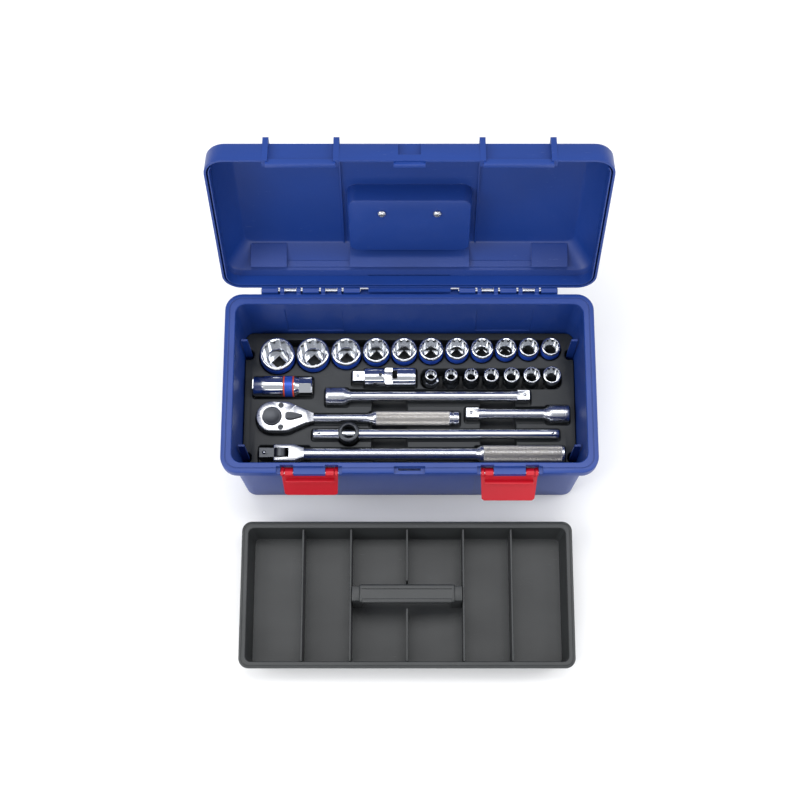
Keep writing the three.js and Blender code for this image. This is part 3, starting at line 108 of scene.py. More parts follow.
floor_z = cad_box[0].z
floor_mesh = bpy.data.meshes.new("floor")
floor_half = 4
floor_mesh.from_pydata(
    [(x * floor_half, y * floor_half, floor_z) for x, y in ((-1, -1), (1, -1), (1, 1), (-1, 1))],
    [],
    [(0, 1, 2, 3)],
)
floor = bpy.data.objects.new("floor", floor_mesh)
scene.collection.objects.link(floor)
paper = bpy.data.materials.new("paper")
paper.use_nodes = True
paper.node_tree.nodes["Principled BSDF"].inputs["Base Color"].default_value = (0.93, 0.93, 0.93, 1)
paper.node_tree.nodes["Principled BSDF"].inputs["Roughness"].default_value = 0.9
floor_mesh.materials.append(paper)

# ---------------------------------------------------------------- case body
# The lower half of the box is one injection moulding in blue polypropylene, with a turned-out
# rim all round, satin outside from the spark-eroded mould, and a recess at each latch.


class Value:
    """A value that varies over a surface, with Python's operators."""

    def __init__(self, finish, socket):
        self.finish = finish
        self.socket = socket

    def sums(self, operation, *values):
        return self.finish.node("ShaderNodeMath", {"operation": operation}, dict(enumerate(values)))

    def __add__(self, other):
        return self.sums("ADD", self, other)

    def __mul__(self, other):
        return self.sums("MULTIPLY", self, other)

    __radd__ = __add__

    def above(self, low, high):
        """0 below low, 1 above high, smooth between."""
        return self.finish.node(
            "ShaderNodeMapRange",
            {"interpolation_type": "SMOOTHSTEP"},
            {"Value": self, "From Min": low, "From Max": high},
        )


class Finish:
    """A material and the record's slot that it belongs to."""

    def __init__(self, name, slot, **constants):
        self.slot = slot
        self.material = bpy.data.materials.new(name)
        self.material.use_nodes = True
        self.tree = self.material.node_tree
        self.shader = self.tree.nodes["Principled BSDF"]
        for key, value in constants.items():
            self.shader.inputs[key.replace("_", " ")].default_value = value
        self.place = self.node("ShaderNodeTexCoord", output="Object")

    def node(self, kind, settings=None, inputs=None, output=0):
        node = self.tree.nodes.new(kind)
        for key, value in (settings or {}).items():
            setattr(node, key, value)
        for key, value in (inputs or {}).items():
            if isinstance(value, Value):
                self.tree.links.new(value.socket, node.inputs[key])
            else:
                node.inputs[key].default_value = value
        return Value(self, node.outputs[output])

    def noise(self, scale, detail=2, stretch=(1, 1, 1)):
        place = self.node("ShaderNodeMapping", None, {"Vector": self.place, "Scale": stretch})
        return self.node("ShaderNodeTexNoise", None, {"Vector": place, "Scale": scale, "Detail": detail})

    def blend(self, share, first, second):
        mixer = {"data_type": "RGBA"}
        return self.node("ShaderNodeMix", mixer, {0: share, 6: first, 7: second}, output=2)

    def bump(self, height, strength, depth, rounded=0):
        inputs = {"Height": height, "Strength": strength, "Distance": depth}
        if rounded:
            inputs["Normal"] = self.node("ShaderNodeBevel", {"samples": 4}, {"Radius": rounded})
        return self.node("ShaderNodeBump", None, inputs)

    def feed(self, **inputs):
        for key, value in inputs.items():
            self.tree.links.new(value.socket, self.shader.inputs[key.replace("_", " ")])


def colour(red, green, blue, share=1.0):
    """A linear colour from everyday 0-255 values."""
    return tuple((share * c / 255) ** 2.2 for c in (red, green, blue)) + (1,)


def moulded(name, slot, tint, roughness, grain=0.3, edge=0.0006):
    """Moulded plastic: even colour, fine eroded grain, faint flow marks, and scuffs from use."""
    finish = Finish(name, slot, Specular_IOR_Level=0.45)
    flow = finish.noise(9, 3, (1, 2.5, 1))
    pores = finish.noise(1500, 2)
    scuffs = finish.noise(130, 4, (1, 9, 4)).above(0.66, 0.74) * finish.noise(18, 2).above(0.5, 0.62)
    lighter = colour(*(c + 0.32 * (255 - c) for c in tint))
    base = finish.blend(flow, colour(*tint, share=1.08), colour(*tint, share=0.9))
    finish.feed(
        Base_Color=finish.blend(scuffs * 0.35, base, lighter),
        Roughness=roughness + flow * 0.1 + scuffs * 0.18 + pores * 0.08,
        Normal=finish.bump(pores, grain, 0.00012, edge),
    )
    return finish


blue_plastic = moulded("blue_plastic", "blue_plastic", (27, 58, 128), 0.34)


def added(name, bm):
    bmesh.ops.recalc_face_normals(bm, faces=bm.faces)
    mesh = bpy.data.meshes.new(name)
    bm.to_mesh(mesh)
    bm.free()
    obj = bpy.data.objects.new(name, mesh)
    scene.collection.objects.link(obj)
    return obj


def rounded(width, depth, radius, centre_x=0.0, centre_y=0.0, steps=8):
    points = []
    for side_x, side_y, start in ((1, 1, 0), (-1, 1, 90), (-1, -1, 180), (1, -1, 270)):
        for i in range(steps + 1):
            angle = math.radians(start + 90 * i / steps)
            x = centre_x + side_x * (width / 2 - radius) + radius * math.cos(angle)
            points.append((x, centre_y + side_y * (depth / 2 - radius) + radius * math.sin(angle)))
    return points


def circle(radius, sides, turn=0.0):
    return [
        (radius * math.cos(turn + 2 * math.pi * i / sides), radius * math.sin(turn + 2 * math.pi * i / sides))
        for i in range(sides)
    ]


AXES = {
    "x": Matrix(((0, 0, 1, 0), (1, 0, 0, 0), (0, 1, 0, 0), (0, 0, 0, 1))),
    "y": Matrix(((0, 1, 0, 0), (0, 0, 1, 0), (1, 0, 0, 0), (0, 0, 0, 1))),
    "z": Matrix.Identity(4),
}


def loft(sections, axis="z", at=(0, 0, 0)):
    """A closed solid through outlines, each with the height it lies at, drawn up one axis."""
    bm = bmesh.new()
    place = Matrix.Translation(at) @ AXES[axis]
    rings = [[bm.verts.new(place @ Vector((x, y, z))) for x, y in outline] for outline, z in sections]
    for low, high in zip(rings, rings[1:]):
        for i in range(len(low)):
            j = (i + 1) % len(low)
            bm.faces.new((low[i], low[j], high[j], high[i]))
    bm.faces.new(rings[0])
    bm.faces.new(rings[-1])
    return added("solid", bm)


def turned(rings, axis, at, sides=48, turn=0.0):
    """A turned solid: each ring is (place along the axis, radius)."""
    return loft([(circle(radius, sides, turn), place) for place, radius in rings], axis, at)


def rod(start, end, radius, axis, at, sides=48):
    """A plain cylinder along an axis."""
    return turned([(start, radius), (end, radius)], axis, at, sides)


def drawn(points, start, end, axis="x"):
    """An outline pulled straight along an axis."""
    return loft([(points, start), (points, end)], axis)


def box(x0, x1, y0, y1, z0, z1, edge=0.0, steps=2):
    bm = bmesh.new()
    bmesh.ops.create_cube(bm, size=1)
    for v in bm.verts:
        v.co = Vector((
            (x0 + x1) / 2 + v.co.x * abs(x1 - x0),
            (y0 + y1) / 2 + v.co.y * abs(y1 - y0),
            (z0 + z1) / 2 + v.co.z * abs(z1 - z0),
        ))
    if edge:
        bmesh.ops.bevel(bm, geom=bm.edges, offset=edge, segments=steps, profile=0.5, affect="EDGES")
    return added("box", bm)


def squared(side, start, end, axis, at, edge=0.5, turn=0.0):
    """A square bar with small flats on its corners and a bevelled tip at its end."""
    half = math.hypot(side / 2, side / 2 - edge)
    flat = math.atan2(side / 2 - edge, side / 2)
    angles = [turn + q * math.pi / 2 + s * flat for q in range(4) for s in (-1, 1)]
    outline = [(half * math.cos(a), half * math.sin(a)) for a in angles]
    tip = [(0.88 * x, 0.88 * y) for x, y in outline]
    step = math.copysign(0.9, end - start)
    return loft([(outline, start), (outline, end - step), (tip, end)], axis, at)


def combined(base, others, operation):
    for other in others:
        modifier = base.modifiers.new("combine", "BOOLEAN")
        modifier.operation = operation
        modifier.solver = "EXACT"
        modifier.object = other
        graph = bpy.context.evaluated_depsgraph_get()
        mesh = bpy.data.meshes.new_from_object(base.evaluated_get(graph))
        base.modifiers.remove(modifier)
        base.data = mesh
        bpy.data.objects.remove(other)
    return base


def fused(base, *others):
    return combined(base, others, "UNION")


def cut(base, *others):
    return combined(base, others, "DIFFERENCE")


def together(name, objects):
    """Separate shells of one piece as one object."""
    bm = bmesh.new()
    for obj in objects:
        bm.from_mesh(obj.data)
        bpy.data.objects.remove(obj)
    return added(name, bm)


def piece(obj, name, body, finish, replaces=(), place=None, sharp=32):
    """Names a finished shape, brings it from millimetres to its place in metres, and hands it over."""
    mesh = obj.data
    obj.name = name
    mesh.name = name
    mesh.transform(Matrix.Scale(0.001, 4) @ (place or Matrix.Identity(4)))
    mesh.materials.clear()
    mesh.materials.append(finish.material)
    mesh.shade_smooth()
    mesh.set_sharp_from_angle(angle=math.radians(sharp))
    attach(obj, body)
    if replaces:
        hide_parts(*replaces)
    return obj


def span(node):
    """Lowest and highest corner of a CAD part, in millimetres."""
    low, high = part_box(node)
    return low * 1000, high * 1000


joints = {joint["name"]: joint for joint in frame["joints"]}


def pivot(joint):
    return Vector(joints[joint]["pos_m"]) * 1000


case_width = 438
case_depth = 222
case_top = 150
rim_front = -case_depth / 2
rim_under = case_top - 13
rim_skin = 2.5
wall_x = case_width / 2 - 10
wall_y = case_depth / 2 - 10
draft = 4.5
wall = 2.8
floor_thick = 3
latch_x = abs(pivot("latch_left_swing").x)
latch_pivot = Vector((0, pivot("latch_left_swing").y, pivot("latch_left_swing").z))
hinge_y = pivot("lid_hinge").y
recess_half = 38
hasp_half = 18
lug_half = 18.4
notch_half = 33.7
recess_depth = 5.5
pin_bore = 1.8
pin_reach = 60
hinge_x = 117.5
knuckle_pitch = 48.75
ear_offset = 9.75
ear_width = 5


def wall_at(z, inset=0.0):
    """Half width and half depth of the wall's outside at a height."""
    lean = draft * (1 - z / rim_under)
    return wall_x - lean - inset, wall_y - lean - inset


def tub(z_values, inset, corner, steps=8):
    sections = []
    for z in z_values:
        half_x, half_y = wall_at(min(z, rim_under), inset)
        sections.append((rounded(2 * half_x, 2 * half_y, corner, steps=steps), z))
    return sections


def rim_ring(inset, z):
    return rounded(case_width - 2 * inset, case_depth - 2 * inset, 20 - inset), z


case = loft([tub([0], 1.2, 13)[0], *tub([1.2], 0.2, 14), *tub([rim_under, case_top - 2], 0, 15)])
rim = loft([rim_ring(0.5, rim_under), rim_ring(0, rim_under + 0.5), rim_ring(0, case_top - 1.3),
            rim_ring(0.4, case_top - 0.4), rim_ring(1.4, case_top)])
rim = cut(rim, loft([rim_ring(rim_skin, rim_under - 1), rim_ring(rim_skin, case_top - rim_skin)]))
case = fused(case, rim)
for middle, half in ((-latch_x, recess_half + 2.5), (latch_x, recess_half + 2.5), (0, hasp_half + 2.5)):
    backing = box(middle - half, middle + half, rim_front + 0.01, 1 - wall_y, rim_under, case_top - 1)
    case = fused(case, backing)
for side in (-1, 1):
    for gap, ear_side in ((-1, -1), (-1, 1), (1, -1), (1, 1)):
        x = side * hinge_x + gap * knuckle_pitch / 2 + ear_side * ear_offset
        ear = turned([(x - ear_width / 2, 3.6), (x - 2.1, 4), (x + 2.1, 4), (x + ear_width / 2, 3.6)],
                     "x", (0, hinge_y, case_top), 32)
        web = box(x - ear_width / 2, x + ear_width / 2, 110, hinge_y, case_top - 8, case_top - 0.1, 0.4)
        case = fused(case, ear, web)
cavity = tub([floor_thick], wall, 11) + tub([rim_under], wall, 12) + tub([case_top - 1], wall, 12) \
    + tub([case_top - 0.2], wall - 0.8, 12.8) + tub([case_top + 1], wall - 1.1, 13)
case = cut(case, loft(cavity))
groove = cut(loft([rim_ring(5.2, case_top - 0.7), rim_ring(5.2, case_top + 1)]),
             loft([rim_ring(6.4, case_top - 2), rim_ring(6.4, case_top + 2)]))
case = cut(case, groove)
for side in (-1, 1):
    x = side * latch_x
    case = cut(
        case,
        box(x - recess_half, x + recess_half, rim_front - 1, rim_front + 8, case_top - recess_depth,
            case_top + 1, 0.01),
        *[box(x + arm * lug_half, x + arm * notch_half, rim_front - 1, -wall_y - 0.3, rim_under - 1,
              case_top + 1)
          for arm in (-1, 1)],
        rod(x - recess_half - 0.5, x + recess_half + 0.5, pin_bore, "x",
            (0, latch_pivot.y, latch_pivot.z), 20),
        rod(side * hinge_x - pin_reach, side * hinge_x + pin_reach, pin_bore, "x",
            (0, hinge_y, case_top), 20),
    )
case = cut(case,
           box(-hasp_half, hasp_half, rim_front - 1, rim_front + 8, case_top - recess_depth, case_top + 1),
           box(-13, 13, rim_front + 4, rim_front + 7, rim_under - 1, case_top))
inside_x = wall_at(64, wall)[0]
gusset_y = 66.5
gusset_reach = 9.2
gusset_thick = 2.6
gusset_top = 113
for side_x in (-1, 1):
    for y in (-gusset_y, gusset_y):
        tip, root = side_x * (inside_x - gusset_reach), side_x * (wall_x - 6)
        gusset = [(1.5, tip), (1.5, root), (gusset_top, root), (gusset_top, tip + side_x * 1.6),
                  (gusset_top - 0.8, tip + side_x * 0.9), (64, tip)]
        case = fused(case, drawn(gusset, y - gusset_thick / 2, y + gusset_thick / 2, "y"))


def slab(x0, x1, z0, z1, side, proud, sunk):
    """A thin raised panel that follows the leaning front or rear wall."""
    sections = []
    for z in (z0, z1):
        y = wall_at(z)[1]
        sections.append(([(x0, side * (y - sunk)), (x1, side * (y - sunk)), (x1, side * (y + proud)),
                          (x0, side * (y + proud))], z))
    return loft(sections)


case = fused(case, slab(-75, 78, 7, 131, -1, 1.1, 1), slab(-75, 78, 7, 131, 1, 1.1, 1))
for x0, x1 in ((-150, -81), (81, 149)):
    case = cut(case, slab(x0, x1, 70, 131, 1, -wall + 0.9, wall + 1))
case = together("case", [case, box(-177, 177, wall_y - 2, 119.3, case_top - 8, case_top - 4.6, 0.5)])
piece(case, "case_shell", "case", blue_plastic, ["case_body"])

# ---------------------------------------------------------------- hinge and latch pins
# Cut lengths of zinc-plated steel wire, pushed through the knuckles and left bare between them.


def plated(name, slot, tint, roughness, brushed=(1, 1, 1), strength=0.12, **constants):
    """Bright plated steel: polishing lines, a slow change of gloss, and fine handling scratches."""
    finish = Finish(name, slot, Metallic=1.0, **constants)
    lines = finish.noise(420, 3, brushed)
    clouds = finish.noise(22, 2)
    scratches = finish.noise(260, 2, (0.12, 1.6, 1)).above(0.7, 0.74)
    base = finish.blend(clouds, colour(*tint), colour(*tint, share=0.9))
    finish.feed(
        Base_Color=finish.blend(scratches * 0.3, base, colour(*tint, share=0.7)),
        Roughness=roughness + lines * 0.09 + clouds * 0.05 + scratches * 0.12,
        Normal=finish.bump(lines + scratches * 0.5, strength, 0.00004, 0.0002),
    )
    return finish


zinc = plated("zinc_steel", "zinc_steel", (214, 216, 220), 0.2)


def plain_pin(name, node, body, radius, axis="x", finish=zinc, chamfer=0.4):
    """A straight pin the length of its CAD part, with both ends chamfered."""
    low, high = span(node)
    middle = (low + high) / 2
    i = "xyz".index(axis)
    ends = (low[i], high[i])
    at = [0 if k == i else middle[k] for k in range(3)]
    rings = [(ends[0], radius - chamfer), (ends[0] + chamfer, radius), (ends[1] - chamfer, radius),
             (ends[1], radius - chamfer)]
    return piece(turned(rings, axis, at, 24), name, body, finish, [node])


for name in ("left", "right"):
    plain_pin(f"hinge_wire_{name}", f"hinge_pin_{name}", "case", 1.5)
    plain_pin(f"latch_wire_{name}", f"latch_pin_{name}", "case", 1.5)

# ---------------------------------------------------------------- lid
# The upper half of the box, moulded in the same blue. Its flat top carries a well for the handle,
# which shows inside as a deep raised block, and its front has a bay and a lip for each latch.

lid_angle = math.radians(103.2)
lid_place = Matrix.Translation((0, hinge_y, case_top)) @ Matrix.Rotation(-lid_angle, 4, "X")
lid_rear = 4.5
lid_front = lid_rear + case_depth + 2.3
lid_width = case_width + 3
lid_band = 25
lid_height = 53
lid_wall = 2.5
crown_inset = 22
front_crown = 34
well_floor = lid_height - 22.5
bay_wall = lid_front - 7
bay_half = 34.8
horn_width = 6.3


def lid_ring(inset, z, extra=0.0, corner=22, front_extra=None):
    width = lid_width - 2 * (inset + extra)
    rear = lid_rear + inset + extra
    front = lid_front - inset - (extra if front_extra is None else front_extra)
    return rounded(width, front - rear, corner - inset, 0, -(front + rear) / 2), z


def lid_shell(inset, start, top):
    return loft([
        lid_ring(inset, start),
        lid_ring(inset, lid_band - 2, 0.9, 21.5),
        lid_ring(inset, lid_band + 0.5, 2.0, 21),
        lid_ring(inset, top - 1.5, crown_inset - 1.6, 16, front_crown - 2.2),
        lid_ring(inset, top - 0.3, crown_inset + 0.4, 15, front_crown),
        lid_ring(inset, top, crown_inset + 1.8, 14, front_crown + 1.6),
    ])


lid = cut(lid_shell(0, 0.4, lid_height), lid_shell(lid_wall, -0.6, lid_height - lid_wall))


def within_lid(solid):
    return combined(solid, [lid_shell(0, 0.4, lid_height)], "INTERSECT")


for side in (-1, 1):
    x = side * latch_x
    reach = bay_half + horn_width
    lid = fused(lid, within_lid(box(x - reach, x + reach, -lid_front, lid_wall - bay_wall, 0.4, lid_height)))
    lid = cut(lid, box(x - bay_half, x + bay_half, -lid_front - 5, -bay_wall, -1, lid_height + 1))
    for horn in (-1, 1):
        ends = sorted((x + horn * bay_half, x + horn * (bay_half + horn_width)))
        outline = [(lid_wall - bay_wall, 0.4), (-lid_front, 0.4), (-lid_front, 32.5), (3 - lid_front, 35.5),
                   (8 - bay_wall, 35.5), (lid_wall - bay_wall, lid_band)]
        lid = fused(lid, drawn(outline, ends[0], ends[1]))
    lid = fused(
        lid,
        box(x - bay_half - 0.5, x + bay_half + 0.5, -bay_wall - 4.7, 0.5 - bay_wall, 0.4, 4.5),
        box(x - 37.5, x + 37.5, -bay_wall - 4.7, 0.5 - bay_wall, -3.1, 0.9, 0.3),
    )
notch = within_lid(box(-14.5, 14.5, -lid_front, lid_wall - bay_wall, 0.4, lid_height))
lid = cut(fused(lid, notch), box(-12, 12, -lid_front - 5, -bay_wall, 9, lid_height + 1))
lid = fused(lid, box(-17, 17, -bay_wall - 4, 0.5 - bay_wall, -3.1, 0.9, 0.3))
well_middle = -85
lid = fused(lid, loft([
    (rounded(136, 86, 9, 0, well_middle), well_floor - lid_wall),
    (rounded(138.4, 88.4, 10, 0, well_middle), well_floor - lid_wall + 0.4),
    (rounded(140, 90, 10.8, 0, well_middle), well_floor - lid_wall + 1.8),
    (rounded(144, 94, 12, 0, well_middle), lid_height - 1.2),
]))
lid = cut(lid, loft([
    (rounded(133, 83, 7, 0, well_middle), well_floor),
    (rounded(135, 85, 8, 0, well_middle), lid_height - 1.5),
    (rounded(138, 88, 9, 0, well_middle), lid_height + 0.5),
]))
lid_parts = []
screw_along = 108.5
screw_x = 31.5
screw_hole = 2.2
for side in (-1, 1):
    lid = cut(lid, rod(well_floor - 5, well_floor + 1, screw_hole, "z",
                       (side * screw_x, -screw_along, 0), 24))
    rib = side * 77.7
    lid = fused(lid, box(rib - 1, rib + 1, front_crown + 8 - lid_front, -lid_rear - crown_inset - 3,
                         lid_height - 5.2, lid_height - 1, 0.3))
    for station in (-knuckle_pitch, 0, knuckle_pitch):
        x0 = side * hinge_x + station - 9.75
        x1 = x0 + 19.5
        knuckle = turned([(x0, 3.6), (x0 + 0.4, 4), (x1 - 0.4, 4), (x1, 3.6)], "x", (0, 0, 0), 32)
        lid = fused(lid, knuckle, box(x0, x1, -lid_rear - 1, 0, 0.4, 4))
    for middle in (side * hinge_x - knuckle_pitch / 2, side * hinge_x + knuckle_pitch / 2):
        lid_parts.append(box(middle - 6.8, middle + 6.8, -lid_rear - 1, -2.1, 0.41, 4, 0.15))
    lid = cut(lid, rod(side * hinge_x - pin_reach, side * hinge_x + pin_reach, pin_bore, "x", (0, 0, 0), 20))
lip = cut(loft([lid_ring(2.2, 0.6), lid_ring(2.2, 14)]),
          loft([lid_ring(5.9, -1, corner=21), lid_ring(5.9, 16, corner=21)]),
          cut(loft([lid_ring(2.1, -1), lid_ring(2.1, 12)]), loft([lid_ring(4.5, -2), lid_ring(4.5, 14)])),
          box(-240, 240, -lid_front - 5, 12 - lid_front, -3, 20))
lid_parts.append(lip)
flange = [(-0.3, -3.2), (-0.3, 0.2), (-lid_rear - 3.4, 17), (-lid_rear - 0.6, 17), (-lid_rear - 0.6, 0.4),
          (-2.8, 0.4), (-2.8, -3.2)]
lid_parts.append(drawn(flange, -49, 49))
slope_in = (lid_rear + 4.2, lid_band + 1)
slope_out = (lid_rear + crown_inset + 1.2, lid_height - 3.4)


def on_slope(share, lift):
    """A point on the inside of the rear slope, and a distance off it."""
    a = slope_in[0] + share * (slope_out[0] - slope_in[0])
    b = slope_in[1] + share * (slope_out[1] - slope_in[1])
    length = math.hypot(slope_out[0] - slope_in[0], slope_out[1] - slope_in[1])
    across = ((slope_out[1] - slope_in[1]) / length, -(slope_out[0] - slope_in[0]) / length)
    return -(a + lift * across[0]), b + lift * across[1]


for x0, x1 in ((-71, 71), (-189, -146), (145, 188)):
    wedge = [on_slope(0.06, -1), on_slope(0.98, -1), on_slope(0.98, 0.6), on_slope(0.06, 8.2)]
    lid_parts.append(drawn(wedge, x0, x1))
for x0, x1 in ((-146.5, -70.5), (70.5, 145.5)):
    strip = [on_slope(0.06, -1), on_slope(0.3, -1), on_slope(0.3, 1.0), on_slope(0.06, 2.6)]
    lid_parts.append(drawn(strip, x0, x1))
lid = together("lid", [lid, *lid_parts])
piece(lid, "lid_shell", "lid", blue_plastic, ["case_lid"], lid_place)

# ---------------------------------------------------------------- handle bracket and its screws
# A black plastic bearing block in the well, held through the lid by two zinc pan-head screws.

black_plastic = moulded("black_plastic", "black_plastic", (37, 40, 42), 0.45, 0.35, 0.0008)
handle_along = 113
handle_up = well_floor + 7.4
bracket = box(-44, 44, -handle_along - 7, -handle_along + 11, well_floor + 0.4, well_floor + 14.4, 1.6, 3)
for side in (-1, 1):
    ends = sorted((side * 35, side * 45))
    bracket = cut(
        bracket,
        rod(ends[0], ends[1], 3.3, "x", (0, -handle_along, handle_up), 28),
        rod(well_floor, well_floor + 9.4, screw_hole, "z", (side * screw_x, -screw_along, 0), 20),
        box(side * 18 - 8, side * 18 + 8, -handle_along - 8, -handle_along + 5, well_floor + 12.8,
            well_floor + 15),
    )
piece(bracket, "handle_bearing", "lid", black_plastic, ["handle_bracket"], lid_place)

for side, name in ((-1, "left"), (1, "right")):
    seat = well_floor - lid_wall - 0.4
    at = (side * screw_x, -screw_along, 0)
    head = turned([(seat - 3.3, 1.2), (seat - 3.2, 2.6), (seat - 2.6, 3.9), (seat - 1.6, 4.6),
                   (seat - 0.6, 4.85), (seat, 4.8)], "z", at, 40)
    shank = turned([(seat - 1, 1.9), (well_floor + 7, 1.9), (well_floor + 8, 1.2)], "z", at, 24)
    cross = [box(at[0] - 2.3, at[0] + 2.3, at[1] - 0.45, at[1] + 0.45, seat - 3.6, seat - 1.5),
             box(at[0] - 0.45, at[0] + 0.45, at[1] - 2.3, at[1] + 2.3, seat - 3.6, seat - 1.5)]
    screw = cut(fused(head, shank), *cross)
    piece(screw, f"bracket_screw_{name}", "lid", zinc, [f"handle_screw_{name}"], lid_place)

# ---------------------------------------------------------------- carry handle
# A moulded blue bail on two stub pins, which folds flat into the well of the lid.

handle_place = lid_place @ Matrix.Translation((0, -handle_along, handle_up)) \
    @ Matrix.Rotation(lid_angle - math.pi / 2, 4, "X")
grip_y = 56.5
bail = turned([(-53, 3), (-52.2, 4.6), (-50, 5.8), (-46, 6), (46, 6), (50, 5.8), (52.2, 4.6), (53, 3)], "x",
              (0, grip_y, 0), 32)
for side in (-1, 1):
    ends = sorted((side * 45, side * 53))
    stub = sorted((side * 37, side * 46))
    bail = fused(
        bail,
        turned([(ends[0], 5), (ends[0] + 0.6, 5.5), (ends[1] - 0.6, 5.5), (ends[1], 5)], "x", (0, 0, 0), 32),
        box(ends[0], ends[1], 0, grip_y, -4, 4, 1.0, 3),
        rod(stub[0], stub[1], 3, "x", (0, 0, 0), 28),
    )
for i in range(-3, 4):
    ring = cut(rod(i * 9 - 1.1, i * 9 + 1.1, 7, "x", (0, grip_y, 0), 32),
               rod(i * 9 - 2, i * 9 + 2, 5.5, "x", (0, grip_y, 0), 32))
    bail = cut(bail, ring)
piece(bail, "carry_bail", "carry_handle", blue_plastic, ["carry_handle"], handle_place)

# ---------------------------------------------------------------- latches
# Two red over-centre latches on pins through the rim. Each is a thin plate with raised side
# borders, two deep arms to the pin, and a hook across its back that pulls the lid's lip down.

red_plastic = moulded("red_plastic", "red_plastic", (180, 22, 38), 0.3, 0.22, 0.0006)
plate_in, plate_out = -3.7, -6.2


def flipped(points):
    return [(z, x) for x, z in points]


for side, name, angle in ((-1, "left", 157), (1, "right", 146.5)):
    place = Matrix.Translation((side * latch_x, latch_pivot.y, latch_pivot.z)) \
        @ Matrix.Rotation(math.radians(angle), 4, "X")
    edge = [(-32.9, 8), (32.9, 8), (31.2, 43), (28.2, 46), (-28.2, 46), (-31.2, 43)]
    face = [(0.975 * x, z if z < 20 else z - 0.8) for x, z in edge]
    edge, face = flipped(edge), flipped(face)
    latch = loft([(edge, plate_in), (edge, plate_out + 0.7), (face, plate_out)], "y")
    for arm in (-1, 1):
        thin = sorted((arm * 33.2, arm * 29.4))
        thick = sorted((arm * 28.6, arm * 18.9))
        for ends, inset in ((thin, 0.0), (thick, 0.3)):
            latch = fused(
                latch,
                turned([(ends[0], 3.2), (ends[0] + 0.4, 3.5), (ends[1] - 0.4, 3.5), (ends[1], 3.2)], "x",
                       (0, 0, 0), 28),
                box(ends[0], ends[1], plate_out + inset, 0, -2.5, 2.5, 0.4),
                box(ends[0], ends[1], plate_out + inset, plate_in + 0.5, -2.5, 9.5, 0.3),
            )
        web = (thick[1], thin[0] + 0.5) if arm > 0 else (thin[1] - 0.5, thick[0] + 0.3)
        latch = fused(latch, box(*web, plate_out + 0.8, plate_in, -1, 9))
        border = flipped([(arm * 33.0, -2.0), (arm * 29.2, -2.0), (arm * 27.6, 42.5), (arm * 31.1, 42.5)])
        latch = fused(latch, drawn(border, plate_out + 0.3, plate_out - 0.8, "y"))
    latch = fused(
        latch,
        box(-28.2, 28.2, plate_in - 0.5, plate_in + 5.5, 13.6, 16.6, 0.5),
        box(-27.5, 27.5, plate_out - 0.5, plate_out + 0.5, 12.8, 14.2, 0.3),
        box(-27.5, 27.5, plate_out - 0.6, plate_out + 0.5, 38.6, 40.0, 0.3),
    )
    latch = cut(latch, rod(-40, 40, pin_bore, "x", (0, 0, 0), 20))
    piece(latch, f"latch_plate_{name}", f"latch_{name}", red_plastic, [f"latch_{name}"], place)

# ---------------------------------------------------------------- tool insert
# A black blow-moulded insert that drops into the case. Each tool has its own pocket, with leaning
# walls and rounded edges, and two wide channels let the fingers in under the long tools.

insert_black = moulded("insert_black", "black_plastic", (40, 43, 46), 0.42, 0.3, 0.0009)
insert_top = 64
insert_gap = 1
play = 1.2
tool_axis = 68
drive_square = 12.7
drive_hole = 12.9
rear_back = 84
sockets = {}
for node in frame["nodes"]:
    if node.startswith("socket_"):
        low, high = span(node)
        sockets[node] = {"size": int(node[7:9]), "at": (low + high) / 2, "low": low.z, "high": high.z,
                         "radius": (high.x - low.x) / 2}
rear_sockets = {n: s for n, s in sockets.items() if s["size"] >= 17}


def spans_x(node):
    low, high = span(node)
    return low.x, high.x, (low.y + high.y) / 2


def hollow(outline_at, floor_height):
    """A pocket cutter: its outline opens by a little up the wall and more at the rounded edge."""
    steps = ((floor_height, -0.5), (floor_height + 0.6, 0), (insert_top - 1.1, 0.5),
             (insert_top - 0.35, 0.85), (insert_top, 1.5), (insert_top + 1, 2.6))
    return loft([(outline_at(grow), z) for z, grow in steps])


def trough(x0, x1, y, half, floor_height=None, corner=3.0):
    deep = tool_axis - half - 0.5 if floor_height is None else floor_height
    width, depth = x1 - x0 + 2 * play, 2 * (half + play)
    middle = (x0 + x1) / 2
    return hollow(lambda grow: rounded(width + 2 * grow, depth + 2 * grow, corner + grow, middle, y, 5), deep)


def well(x, y, radius, floor_height):
    return hollow(lambda grow: [(x + px, y + py) for px, py in circle(radius + grow, 64)], floor_height)


def insert_ring(inset, z, corner):
    half_x, half_y = wall_at(z, wall + insert_gap + inset)
    return rounded(2 * half_x, 2 * half_y, corner), z


insert = loft([insert_ring(0, 3.4, 9), insert_ring(0, insert_top - 1.2, 9),
               insert_ring(0.4, insert_top - 0.3, 8.6), insert_ring(1.3, insert_top, 8)])
biggest = sockets["socket_32mm"]
smallest = sockets["socket_17mm"]
cutters = [well(s["at"].x, s["at"].y, s["radius"] + play, s["low"] - 0.4) for s in rear_sockets.values()]
cutters.append(trough(biggest["at"].x, smallest["at"].x, (smallest["at"].y - 6 + rear_back) / 2,
                      (rear_back - smallest["at"].y + 6) / 2, insert_top - 22, 2))
first, last = sockets["socket_10mm"], sockets["socket_16mm"]
cutters.append(trough(first["at"].x - 11, last["at"].x + 11, first["at"].y - 0.5, 11.5,
                      first["low"] - 0.4, 9))
spark = spans_x("spark_plug_socket")
tang = spans_x("universal_joint_drive_yoke")
barrel = spans_x("universal_joint_socket_yoke")
long_bar = spans_x("long_extension")
short_bar = spans_x("short_extension")
ratchet = spans_x("ratchet_body")
t_bar = spans_x("sliding_t_bar")
t_head = spans_x("sliding_t_head")
flex = spans_x("flex_handle")
flex_start = spans_x("flex_head")[0]
head_x = pivot("ratchet_drive_spin").x
